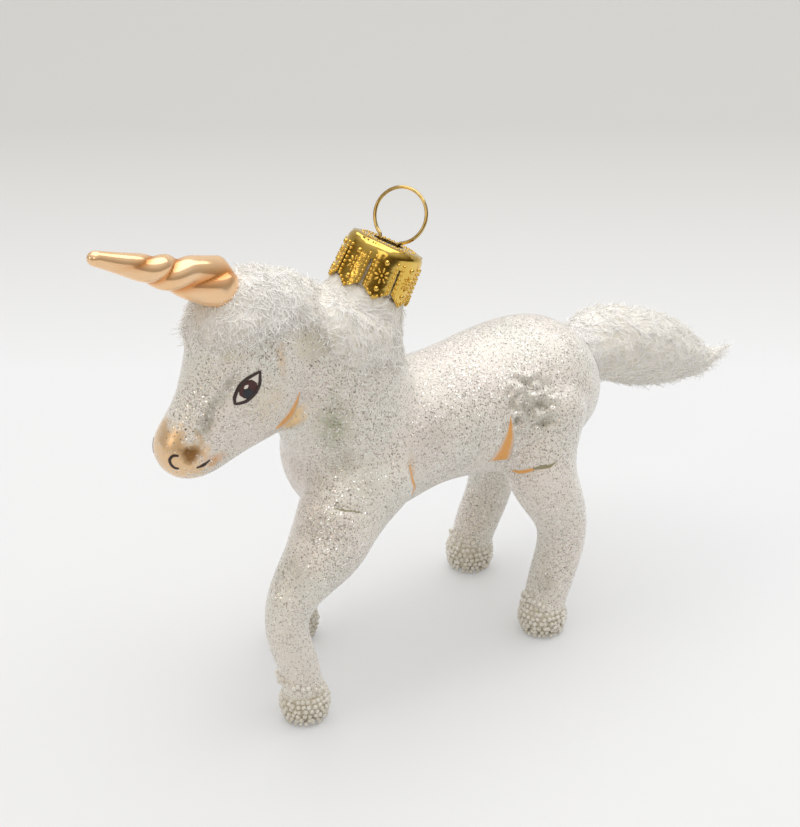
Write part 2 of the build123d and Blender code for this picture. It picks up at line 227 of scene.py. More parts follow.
def mark(piece, name, values):
    """Keep a value at each vertex, for a material to read."""
    layer = piece.data.attributes.new(name, "FLOAT", "POINT")
    layer.data.foreach_set("value", values.astype(np.float32))


def shade(piece, angle=None):
    """Shade a piece smooth, all over or where its faces meet at less than that angle in degrees."""
    take(piece)
    if angle is None:
        bpy.ops.object.shade_smooth()
    else:
        bpy.ops.object.shade_smooth_by_angle(angle=radians(angle))


def finish(piece, body, material, nodes=()):
    """Give a piece its material, its body and the nodes that it stands for."""
    piece.data.materials.clear()
    piece.data.materials.append(material)
    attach(piece, body)
    if nodes:
        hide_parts(*nodes)


def modify(piece, kind, **settings):
    """Add one modifier and apply it."""
    take(piece)
    bpy.ops.object.modifier_add(type=kind)
    modifier = piece.modifiers[-1]
    for key, value in settings.items():
        setattr(modifier, key, value)
    bpy.ops.object.modifier_apply(modifier=modifier.name)


def largest_shell(piece):
    """Keep only the outer shell of a piece, under the piece's name."""
    name = piece.name
    edit(piece, bpy.ops.mesh.separate, type="LOOSE")
    *rest, keep = sorted(bpy.context.selected_objects, key=lambda o: max(np.ptp(places(o), axis=0)))
    for shell in rest:
        bpy.data.objects.remove(shell)
    keep.name = keep.data.name = name
    return keep


def fused(pieces, name, grain):
    """Several pieces melted into one skin, with faces of that size."""
    piece = joined(pieces, name)
    modify(piece, "REMESH", mode="VOXEL", voxel_size=grain)
    return largest_shell(piece)


def soften(piece, chosen, passes):
    """Relax the chosen vertices, or all of them for None."""
    edit(piece, bpy.ops.mesh.vertices_smooth, chosen, factor=0.5, repeat=passes)


def smoothstep(value):
    """A soft step from 0 to 1."""
    t = np.clip(value, 0, 1)
    return t * t * (3 - 2 * t)


def lumps(co, size, seed):
    """Smooth noise at each place, about -1 to 1, with lumps of that size in metres."""
    shift = Vector((seed * 7.3, seed * 3.1, seed * 5.7))
    return np.array([noise.noise(Vector(p) / size + shift) for p in co])


def mound(co, centre, halves):
    """A soft mound over places, 1 at its centre."""
    return np.exp(-(((co / MM - centre) / halves) ** 2).sum(1))


def on_pike(rise):
    """The place on the pike's axis at that rise over its foot."""
    return CAP_TOP - PIKE_AXIS * (PIKE_LENGTH - rise)


def round_pike(co):
    """Height of each place along the pike and its distance from the pike's axis."""
    away = co - on_pike(0)
    up = away @ PIKE_AXIS
    return up, np.linalg.norm(away - up[:, None] * PIKE_AXIS, axis=1)


def cut_lengthwise(piece, cuts):
    """Cut the long edges of an upright cylinder of height one."""
    ends = places(piece)[[edge.vertices[:] for edge in piece.data.edges], 2]
    edit(piece, bpy.ops.mesh.subdivide, np.ptp(ends, axis=1) > 0.5, "EDGE", number_cuts=cuts)


def repeated(name, pattern, co):
    """One mesh with a pattern's faces on each row of places. The pattern itself goes."""
    faces = [tuple(p.vertices) for p in pattern.data.polygons]
    bpy.data.objects.remove(pattern)
    every = [tuple(v + k * co.shape[1] for v in face) for k in range(len(co)) for face in faces]
    mesh = bpy.data.meshes.new(name)
    mesh.from_pydata(co.reshape(-1, 3).tolist(), [], every)
    return linked(name, mesh)


def copies(name, pattern, turns, shifts):
    """Copies of one modelled pattern in one mesh, each turned and shifted."""
    piece = repeated(name, pattern, np.einsum("nij,mj->nmi", turns, places(pattern)) + shifts[:, None, :])
    shade(piece)
    return piece


def unit(rows):
    """Rows scaled to length one."""
    return rows / np.maximum(np.linalg.norm(rows, axis=-1, keepdims=True), 1e-12)


def scattered(bed, count, seed, keep=None):
    """Seeded places all over a bed's faces, with their normals."""
    rng = np.random.RandomState(seed)
    bed.data.calc_loop_triangles()
    tris = np.array([t.vertices[:] for t in bed.data.loop_triangles])
    corners = places(bed)[tris]
    cross = np.cross(corners[:, 1] - corners[:, 0], corners[:, 2] - corners[:, 0])
    area = np.linalg.norm(cross, axis=1)
    if keep is not None:
        area = area * keep(corners.mean(axis=1))
    which = rng.choice(len(tris), size=count, p=area / area.sum())
    a, b = rng.rand(2, count)
    flip = a + b > 1
    a, b = np.where(flip, 1 - a, a)[:, None], np.where(flip, 1 - b, b)[:, None]
    chosen = corners[which]
    spots = chosen[:, 0] + a * (chosen[:, 1] - chosen[:, 0]) + b * (chosen[:, 2] - chosen[:, 0])
    return spots, unit(cross[which]), rng


# One fibre: ranges of length, lift and thickness, then spread of curl, thinning of the ends, root and bend
FIBRE_REACH, FIBRE_LIFT, FIBRE_GAUGE = (0.55, 1.25), (0.0, 0.12), (0.7, 1.3)
FIBRE_CURL, FIBRE_THINNING, FIBRE_ROOT, FIBRE_BEND = 0.16, 0.55, 0.35, 0.4


def fibres(name, bed, count, flow, spread, form, seed, keep=None):
    """Bent fibres laid over a bed, each a copy of one tapered strand."""
    spots, outward, rng = scattered(bed, count, seed, keep)
    strand = made(bpy.ops.mesh.primitive_cylinder_add, vertices=3, radius=0.5, depth=1,
                  end_fill_type="NOTHING")
    cut_lengthwise(strand, 2)
    along = flow(spots)
    along = unit(along - (along * outward).sum(1, keepdims=True) * outward)
    aside = np.cross(outward, along)
    swing = rng.normal(0, spread, count)[:, None]
    ahead, beside = np.cos(swing), np.sin(swing)
    along, aside = along * ahead + aside * beside, aside * ahead - along * beside
    reach = form.fibre_length * rng.uniform(*FIBRE_REACH, count)[:, None]
    lift = rng.uniform(*FIBRE_LIFT, count)[:, None] * reach
    curl = rng.normal(0, FIBRE_CURL, count)[:, None] * reach
    width = form.fibre_width * rng.uniform(*FIBRE_GAUGE, count)[:, None]
    rows = []
    for x, y, z in places(strand):
        s = z + 0.5
        bend = s - FIBRE_BEND
        taper = 1.0 - FIBRE_THINNING * abs(2 * s - 1)
        rows.append(spots + along * reach * (s - FIBRE_ROOT)
                    + outward * (lift * s * s * 1.4 + form.fibre_width * 0.2)
                    + aside * curl * bend * abs(bend) * 4
                    - (outward * y + aside * x) * width * taper)
    return repeated(name, strand, np.stack(rows, axis=1))


def fill(node, inputs):
    """Set a node's sockets to values, or link them from sockets or from another node's first live output."""
    for key, value in inputs.items():
        if isinstance(value, bpy.types.Node):
            value = next(out for out in value.outputs if out.enabled)
        if isinstance(value, bpy.types.NodeSocket):
            node.id_data.links.new(value, node.inputs[key])
        else:
            node.inputs[key].default_value = value


def add_node(tree, kind, inputs=None, **settings):
    """One shader node with its settings, its values and its links."""
    node = tree.nodes.new(f"ShaderNode{kind}")
    for key, value in settings.items():
        setattr(node, key, value)
    fill(node, inputs or {})
    return node


def set_stops(ramp, first, *middle, last):
    """Set the places and colours along a colour ramp."""
    for stop, (spot, tone) in zip(ramp.elements, (first, last)):
        stop.position, stop.color = spot, tone
    for spot, tone in middle:
        ramp.elements.new(spot).color = tone


def new_material(name):
    """A node material, a call that adds a node to it, its shader, and the places in its object."""
    material = bpy.data.materials.new(name)
    material.use_nodes = True
    add = partial(add_node, material.node_tree)
    return material, add, material.node_tree.nodes["Principled BSDF"], add("TexCoord").outputs["Object"]


# Tints in the lacquer, on both sides, among them painted shade: centre, half sizes, softness of the edge,
# colour, strength, gilding
TINTS = (
    # Painted shade: olive darkening along the groove in front of the eye
    ((46.1, 7.1, 66.4), (1.3, 2.4, 1.7), 1.0, "#7E7D68", 0.55, 0.0),
    ((47.2, 6.5, 64.8), (1.4, 2.4, 1.8), 1.0, "#7E7D68", 0.65, 0.0),
    ((48.3, 5.9, 63.1), (1.4, 2.4, 1.8), 1.0, "#7E7D68", 0.7, 0.0),
    ((49.1, 5.5, 61.6), (1.4, 2.4, 1.8), 1.0, "#7B7962", 0.7, 0.0),
    ((49.9, 5.2, 60.1), (1.4, 2.4, 1.8), 1.0, "#7B7962", 0.7, 0.0),
    ((50.6, 5.0, 58.6), (1.5, 2.4, 1.9), 1.0, "#77745C", 0.75, 0.0),
    ((51.4, 4.9, 57.1), (1.6, 2.4, 1.9), 1.0, "#77745C", 0.7, 0.0),
    ((41.0, 8.0, 61.0), (5.0, 4.0, 5.4), 1.0, "#E3C9A0", 0.55, 0.0),
    ((31.0, 7.7, 67.4), (3.0, 4.0, 3.8), 0.5, "#D9D3C3", 0.9, 0.25),
    ((33.2, 7.2, 70.4), (2.2, 3.0, 2.8), 0.6, "#DCD7C9", 0.85, 0.2),
    ((38.3, 8.3, 68.0), (1.3, 3.0, 4.6), 1.0, "#DFB481", 0.7, 0.2),
    ((35.0, 5.0, 54.8), (3.4, 4.4, 3.0), 0.6, "#F0CB90", 0.95, 0.8),
    # Painted shade: olive and grey patches where the neck, chest, shoulder, legs and flank turn from the
    # light
    ((28.4, 8.6, 53.0), (3.8, 5.0, 6.8), 1.0, "#8F9A72", 0.85, 0.0),
    ((27.0, 9.0, 45.8), (3.6, 4.0, 3.6), 1.0, "#B1AA97", 0.5, 0.0),
    ((34.0, 12.8, 36.4), (5.4, 5.0, 3.6), 1.0, "#A7A18F", 0.55, 0.0),
    ((39.3, 13.2, 30.4), (3.6, 4.4, 4.6), 1.0, "#A9A391", 0.5, 0.0),
    ((25.2, 12.7, 42.2), (4.4, 4.0, 2.8), 1.0, "#B3AD9B", 0.45, 0.0),
    ((-12.2, 15.6, 11.4), (2.3, 3.4, 4.4), 1.0, "#ABA593", 0.5, 0.0),
    ((10.5, 11.5, 46.4), (6.4, 6.0, 4.6), 1.0, "#BBB4A8", 0.45, 0.0),
    ((15.9, 13.4, 42.2), (1.1, 3.0, 3.2), 0.9, "#E3B074", 0.6, 0.2),
    ((-9.8, 12.2, 46.6), (6.0, 7.0, 7.2), 0.7, "#CFCDC2", 0.7, 0.55),
    ((54.6, 0.0, 52.2), (6.2, 9.0, 6.4), 0.35, "#EFC998", 0.95, 0.8),
    # Painted shade: a dark brown reflection on the muzzle's gold, then a painted orange shadow at the corner
    # of the mouth
    ((54.0, 5.1, 53.4), (2.2, 2.6, 1.9), 0.6, "#8A5A12", 0.95, 1.0),
    ((50.0, 5.6, 51.6), (2.8, 3.0, 1.6), 0.9, "#DE9C50", 0.8, 0.6),
    ((33.4, 8.4, 68.0), (2.6, 4.2, 3.4), 0.5, "#DAD4BE", 0.7, 0.6),
    ((46.5, 5.2, 70.0), (3.2, 3.2, 1.8), 0.6, "#D3CDB5", 0.7, 0.6),
    ((42.4, 8.4, 61.8), (2.6, 3.2, 2.4), 0.6, "#E6E0CF", 0.6, 0.6),
)

# Flakes: the share of cells that carry one, their tones, their tilt and the ones that flash
FLAKE_COVER = {"From Min": 0.34, "From Max": 0.64, "To Min": 0.20, "To Max": 0.50}
FLAKE_TONES = ((0.20, "#CBC2BA"), (0.40, "#DDD0C8"), (0.56, "#D5D9CA"), (0.68, "#ECE7DF"))
FLAKE_TILT, FLASH_FROM, FLASH_METAL = 0.8, 0.55, 0.66


def glitter_lacquer(form):
    """Satin white lacquer on silvered glass, with silver flakes, a gilded muzzle, and painted shade in the
    crumple's hollows, in creases and on shaded sides.
    """
    material, add, shader, place = new_material("glitter_lacquer_on_silvered_glass")
    flakes = add("TexVoronoi", {"Vector": place, "Scale": 1 / form.flake}).outputs["Color"]
    dice = add("SeparateColor", {"Color": flakes}).outputs
    clouds = add("TexNoise", {"Vector": place, "Scale": 1 / (9 * MM), "Detail": 4.0})
    cover = add("MapRange", {"Value": clouds, **FLAKE_COVER})
    drift = add("TexNoise", {"Vector": place, "Scale": 1 / (15 * MM), "Detail": 2.0})
    body = add("ValToRGB", {"Fac": drift})
    set_stops(body.color_ramp, (0.36, linear("#ECEBE2")), (0.5, form.lacquer), last=(0.66, linear("#F3EAE3")))
    # The tints lie on both sides, so they are measured from the mirrored place
    mirrored = add("VectorMath", {0: place}, operation="ABSOLUTE")
    sides = add("SeparateXYZ", {0: mirrored}).outputs
    raw = add("SeparateXYZ", {0: place}).outputs
    folded = add("CombineXYZ", {0: raw[0], 1: sides[1], 2: raw[2]})
    ragged = add("TexNoise", {"Vector": place, "Scale": 1 / (1.6 * MM), "Detail": 3.0})
    wobble = add("Math", {0: ragged, 1: 0.5}, operation="SUBTRACT")
    # Painted shade: grey-green in the low folds of the crumpled patch
    painted_crumple_shade = add("Attribute", attribute_name="painted_crumple_shade").outputs["Fac"]
    coat = add("Mix", {"Factor": painted_crumple_shade, 6: body, 7: linear("#ACA997")}, data_type="RGBA")
    gilding = None
    for centre, halves, soft, code, strength, gilt in TINTS:
        moved = add("VectorMath", {0: folded, 1: [c * MM for c in centre]}, operation="SUBTRACT")
        scaled = add("VectorMath", {0: moved, 1: [1 / (h * MM) for h in halves]}, operation="MULTIPLY")
        far = add("VectorMath", {0: scaled}, operation="LENGTH")
        edge = add("Math", {0: far, 1: wobble}, operation="ADD")
        mask = add("MapRange", {"Value": edge, "From Min": 1.0, "From Max": 1.0 - soft, "To Max": strength})
        coat = add("Mix", {"Factor": mask, 6: coat, 7: linear(code)}, data_type="RGBA")
        if gilt:
            share = add("Math", {0: mask, 1: gilt}, operation="MULTIPLY")
            if gilding is not None:
                share = add("Math", {0: gilding, 1: share}, operation="MAXIMUM")
            gilding = share
    # Fewer flakes on the gilding, and a few specks of dust over all
    bare = add("MapRange", {"Value": gilding, "From Max": 0.8, "To Min": 1.0, "To Max": 0.12})
    chance = add("Math", {0: cover, 1: bare}, operation="MULTIPLY")
    flake = add("Math", {0: dice["Blue"], 1: chance}, operation="LESS_THAN")
    silver = add("ValToRGB", {"Fac": dice["Red"]})
    silver.color_ramp.interpolation = "CONSTANT"
    tones = [(spot, linear(code)) for spot, code in FLAKE_TONES]
    # The first tone, the flake shade, is painted shade for flakes turned from the light
    set_stops(silver.color_ramp, (0.0, form.shade), *tones, last=(0.84, linear("#FFFFFF")))
    strewn = add("Mix", {"Factor": flake, 6: coat, 7: silver}, data_type="RGBA")
    dust = add("TexVoronoi", {"Vector": place, "Scale": 1 / (4 * MM)}).outputs["Distance"]
    speck = add("Math", {0: dust, 1: 0.04}, operation="LESS_THAN")
    final = add("Mix", {"Factor": speck, 6: strewn, 7: linear("#4A443C")}, data_type="RGBA")
    # Each flake has its own tilt, and some flash
    strewing = add("TexWhiteNoise", {"Vector": flakes}).outputs["Color"]
    tilt = add("VectorMath", {0: strewing, 1: (0.5, 0.5, 0.5)}, operation="SUBTRACT")
    slack = add("Math", {0: flake, 1: FLAKE_TILT}, operation="MULTIPLY")
    loose = add("VectorMath", {0: tilt, "Scale": slack}, operation="SCALE")
    facing = add("NewGeometry").outputs["Normal"]
    facet = add("VectorMath", {0: facing, 1: loose}, operation="ADD")
    level = add("VectorMath", {0: facet}, operation="NORMALIZE")
    bright = add("Math", {0: dice["Green"], 1: FLASH_FROM}, operation="GREATER_THAN")
    glint = add("Math", {0: flake, 1: bright}, operation="MULTIPLY")
    gloss = add("MapRange", {"Value": glint, "To Min": 0.32, "To Max": 0.18})
    shine = add("Math", {0: glint, 1: FLASH_METAL}, operation="MULTIPLY")
    metal = add("Math", {0: gilding, 1: 0.6, 2: shine}, operation="MULTIPLY_ADD", use_clamp=True)
    fill(shader, {"Base Color": final, "Normal": level, "Metallic": metal, "Roughness": gloss,
                  "Sheen Weight": 0.7})
    return material


def gold_lacquer(form):
    """Peach-gold lacquer on glass: glossy, half metallic, with a deeper orange painted reflection in the
    creases.
    """
    material, add, shader, place = new_material("peach_gold_lacquer_on_glass")
    painted_crease_reflection = add("Attribute", attribute_name="painted_crease_reflection").outputs["Fac"]
    clouds = add("TexNoise", {"Vector": place, "Scale": 1 / (3.5 * MM), "Detail": 3.0})
    tone = add("Mix", {"Factor": clouds, 6: form.gold, 7: linear("#FFE0BC")}, data_type="RGBA")
    deep = add("Mix", {"Factor": painted_crease_reflection, 6: tone, 7: form.painted_crease_reflection}, data_type="RGBA")
    fill(shader, {"Base Color": deep, "Metallic": 0.5, "Roughness": 0.12})
    return material


def white_flock(name, low, high):
    """Matted viscose flock, dull white: the strands, and the ground under them, given greyer colours as
    painted shade between the strands.
    """
    material, add, shader, place = new_material(name)
    mats = add("TexNoise", {"Vector": place, "Scale": 1 / (1.2 * MM), "Detail": 5.0})
    tone = add("MapRange", {"Value": mats, "From Min": 0.3, "From Max": 0.6})
    shaded = add("Mix", {"Factor": tone, 6: low, 7: high}, data_type="RGBA")
    fill(shader, {"Base Color": shaded, "Roughness": 0.6})
    return material


def bead_glass(name, low, high, bead):
    """Cream glass micro-beads, each a slightly different white, and the glue that holds them, greyer as
    painted shade in the gaps between the beads.
    """
    material, add, shader, place = new_material(name)
    cells = add("TexVoronoi", {"Vector": place, "Scale": 1 / (1.1 * bead)}).outputs["Color"]
    dice = add("SeparateColor", {"Color": cells}).outputs["Red"]
    tone = add("Mix", {"Factor": dice, 6: low, 7: high}, data_type="RGBA")
    fill(shader, {"Base Color": tone, "Roughness": 0.3})
    return material


def stamped_gilt(form):
    """Gold-lacquered tinplate, bright, with faint rolling and stamping unevenness."""
    material, add, shader, place = new_material("stamped_gilt_tinplate")
    dents = add("TexNoise", {"Vector": place, "Scale": 1 / (1.1 * MM), "Detail": 2.0})
    bump = add("Bump", {"Height": dents, "Strength": 0.22, "Distance": 0.12 * MM})
    worn = add("TexNoise", {"Vector": place, "Scale": 1 / (2.6 * MM), "Detail": 4.0})
    tone = add("Mix", {"Factor": worn, 6: form.gilt, 7: linear("#EDCF78")}, data_type="RGBA")
    rough = add("MapRange", {"Value": worn, "To Min": 0.06, "To Max": 0.16})
    fill(shader, {"Base Color": tone, "Normal": bump, "Roughness": rough, "Metallic": 1.0})
    return material


def brass_wire(form):
    """Drawn brass wire, polished, with fine uneven wear that blurs its gloss."""
    material, add, shader, place = new_material("drawn_brass_wire")
    wear = add("TexNoise", {"Vector": place, "Scale": 1 / (0.9 * MM), "Detail": 3.0})
    rough = add("MapRange", {"Value": wear, "To Min": 0.05, "To Max": 0.12})
    tone = add("Mix", {"Factor": wear, 6: form.wire, 7: linear("#A98A4A")}, data_type="RGBA")
    fill(shader, {"Base Color": tone, "Roughness": rough, "Metallic": 1.0})
    return material


def enamel(name, code, other, worn=None):
    """Brushed enamel: glossy, a little uneven where the brush left it thin, and rubbed away at a worn rim. It
    also serves for painted shade and painted highlights along the creases.
    """
    material, add, shader, place = new_material(name)
    thin = add("TexNoise", {"Vector": place, "Scale": 1 / (0.7 * MM), "Detail": 2.0})
    tone = add("Mix", {"Factor": thin, 6: linear(code), 7: linear(other)}, data_type="RGBA")
    if worn:
        rim = add("Attribute", attribute_name="rim").outputs["Fac"]
        frayed = add("Math", {0: thin, 1: 0.6, 2: rim}, operation="MULTIPLY_ADD")
        rubbed = add("MapRange", {"Value": frayed, "From Min": 0.75, "From Max": 1.2})
        tone = add("Mix", {"Factor": rubbed, 6: tone, 7: linear(worn)}, data_type="RGBA")
    fill(shader, {"Base Color": tone, "Roughness": 0.18})
    return material


# Creases that the torch left in the hot glass, on both sides: places along it, depth, half width
CREASES = (
    ((
        (46.3, 7.0, 66.0), (51.6, 4.8, 56.9),
    ), 0.45, 1.1),
    ((
        (32.4, 12.0, 40.0), (30.6, 13.0, 39.4), (28.9, 13.9, 38.9), (26.8, 14.8, 38.4),
    ), 0.4, 0.8),
    ((
        (-6.7, 10.6, 33.4), (-7.5, 12.8, 34.0), (-8.4, 14.1, 34.7), (-10.2, 15.6, 35.5),
        (-12.6, 16.4, 36.0),
    ), 0.45, 0.9),
    ((
        (16.0, 12.8, 43.0), (15.7, 13.4, 40.2), (14.6, 12.2, 37.6), (14.4, 10.9, 35.4),
    ), 0.4, 0.9),
)

# Where the glass was pressed in or drawn out: centre and half sizes, then how far it moves
POLL, POLL_DROP = ((31.0, 0.0, 79.0), (9.0, 13.0, 7.0)), 1.7
NAPE, NAPE_HOLLOW = ((12.5, 0.0, 63.5), (5.0, 12.0, 5.0)), 0.8
CHEST, CHEST_SWELL = ((34.0, 0.0, 44.5), (7.0, 12.0, 8.5)), 1.1
RUMP, RUMP_HOLLOW = ((-16.0, 0.0, 58.0), (9.0, 14.0, 7.0)), 1.0
CRUMPLE_PLACE, CRUMPLE_HALVES, CRUMPLE_DEPTH = (-9.8, 12.2, 46.6), (6.2, 7.0, 7.4), 0.85
# The crumpled patch: size, level and gain of its ridges, and size of its finer grit
RIDGE_SIZE, RIDGE_LEVEL, RIDGE_GAIN, GRIT_SIZE = 2.8, 0.30, 2.8, 1.3
# The foot of the pike: radius and height, and the radius round it that keeps its form
FOOT_RADIUS, FOOT_HEIGHT, FOOT_CLEAR = 5.4, 1.2, 6.4


def blended(at, rows):
    """Rows of places or directions, read between their numbers."""
    return np.stack([np.interp(at, range(len(rows)), rows[:, k]) for k in range(3)], axis=1)


def resampled(points, count):
    """A row of places spread along a path's points."""
    return blended(np.linspace(0, len(points) - 1, count), points)


class ORNAMENT_OT_glass(Operator):
    """Fuse the blown and drawn pieces into one lacquered glass figure"""
    bl_idname = "ornament.glass"
    bl_label = "Glass figure"

    def execute(self, context):
        form = context.scene.ornament_glass
        parts = [copy_of(node, f"{node}_glass") for node in GLASS_NODES]
        parts.append(made(bpy.ops.mesh.primitive_cylinder_add, vertices=48, radius=FOOT_RADIUS * MM,
                          depth=FOOT_HEIGHT * MM, location=on_pike(FOOT_HEIGHT / 2 * MM), rotation=PIKE_TURN))
        parts.append(made(bpy.ops.mesh.primitive_uv_sphere_add, segments=32, ring_count=16, radius=1,
                          location=form.web_place, scale=form.web_size))
        figure = fused(parts, "glass_figure", form.grain)
        up, off_axis = round_pike(places(figure))
        soften(figure, ~((off_axis < FOOT_CLEAR * MM) & (up > -1 * MM)), form.softening)
        co, out = places(figure), normals(figure)
        beside = round_pike(co)[1] > FOOT_CLEAR * MM
        poll, nape = beside * mound(co, *POLL), beside * mound(co, *NAPE)
        chest, rump = mound(co, *CHEST), mound(co, *RUMP)
        co = co - UP * (POLL_DROP * MM) * poll[:, None] - out * (NAPE_HOLLOW * MM * nape)[:, None]
        co = co + out * ((CHEST_SWELL * chest - RUMP_HOLLOW * rump) * MM)[:, None]
        folded = co / MM * (1, 0, 1) + np.abs(co / MM) * (0, 1, 0)
        for path, depth, half in CREASES:
            spots = resampled(np.array(path), 16)
            off = np.min([np.linalg.norm(folded - spot, axis=1) for spot in spots], axis=0)
            co = co - out * (depth * MM * np.exp(-(off / half) ** 2))[:, None]
        reach = np.linalg.norm((co / MM - CRUMPLE_PLACE) / CRUMPLE_HALVES, axis=1)
        near = smoothstep((1 - reach) * 2.2)
        chosen = near > 0
        fold = np.zeros(len(co))
        ridges = np.abs(lumps(co[chosen], RIDGE_SIZE * MM, seed=3))
        fold[chosen] = (RIDGE_LEVEL - ridges) * RIDGE_GAIN + lumps(co[chosen], GRIT_SIZE * MM, seed=5)
        put(figure, co + out * (fold * near * CRUMPLE_DEPTH * MM)[:, None])
        # Painted shade: how deep each place lies in the crumpled patch's folds, for the lacquer to darken
        mark(figure, "painted_crumple_shade", near * np.clip(0.25 - fold * 0.9, 0, 1))
        shade(figure)
        finish(figure, "figure", glitter_lacquer(form), GLASS_NODES)
        return {"FINISHED"}


# The horn: its rise, its tip, its radius there, its twist, the strands' groove and the flutes at its foot
HORN_RISE = radians(24.6)
HORN_TIP = np.array((68.0, 0.0, 90.5)) * MM
HORN_TIP_RADIUS = 1.15 * MM
HORN_START, HORN_TWIST, HORN_TIGHTENING = radians(8), radians(260), radians(240)
HORN_GROOVE, HORN_FLUTES, FLUTE_COUNT = 0.27, 0.045, 5


class ORNAMENT_OT_horn(Operator):
    """Twist the horn's two-stranded cane"""
    bl_idname = "ornament.horn"
    bl_label = "Horn"

    def execute(self, context):
        form = context.scene.ornament_horn
        axis = np.array((cos(HORN_RISE), 0.0, sin(HORN_RISE)))
        root = HORN_TIP - axis * form.reach
        horn = made(bpy.ops.mesh.primitive_cylinder_add, vertices=56, radius=0.5, depth=1)
        horn.name = horn.data.name = "horn_cane"
        cut_lengthwise(horn, 90)
        base = places(horn)
        s = base[:, 2] + 0.5
        angle = np.arctan2(base[:, 1], base[:, 0])
        spin = HORN_START + HORN_TWIST * s + HORN_TIGHTENING * smoothstep((s - 0.30) / 0.42)
        # A hollowed taper, drawn in at the root and rounded at the tip
        taper = form.thickness / 2 * (1 - s) ** 1.1 + HORN_TIP_RADIUS * s
        taper *= 1 - 0.7 * np.clip(1 - s / 0.15, 0, 1) ** 2
        taper *= np.sqrt(np.clip(1 - np.clip((s - 0.955) / 0.045, 0, 1) ** 2, 0.02, 1))
        depth = HORN_GROOVE * smoothstep((0.90 - s) / 0.50)
        strand = np.abs(np.cos(angle - spin)) ** 0.75
        flutes = HORN_FLUTES * smoothstep(1 - s / 0.38) * np.cos(FLUTE_COUNT * (angle - spin) + 0.7)
        radius = taper * (1 - depth + depth * strand * 1.15 + flutes)
        above = np.cross(axis, LEFT) * -1
        put(horn, root + axis * (s * form.reach)[:, None] + LEFT * (radius * np.cos(angle))[:, None]
            + above * (radius * np.sin(angle))[:, None])
        # Painted reflection: where the deeper orange lies, in the grooves between the strands
        mark(horn, "painted_crease_reflection", (1 - np.clip(strand / 0.7, 0, 1)) * np.clip(depth / 0.12, 0, 1))
        edit(horn, bpy.ops.mesh.normals_make_consistent, inside=False)
        shade(horn)
        finish(horn, "figure", gold_lacquer(form), ("horn",))
        return {"FINISHED"}


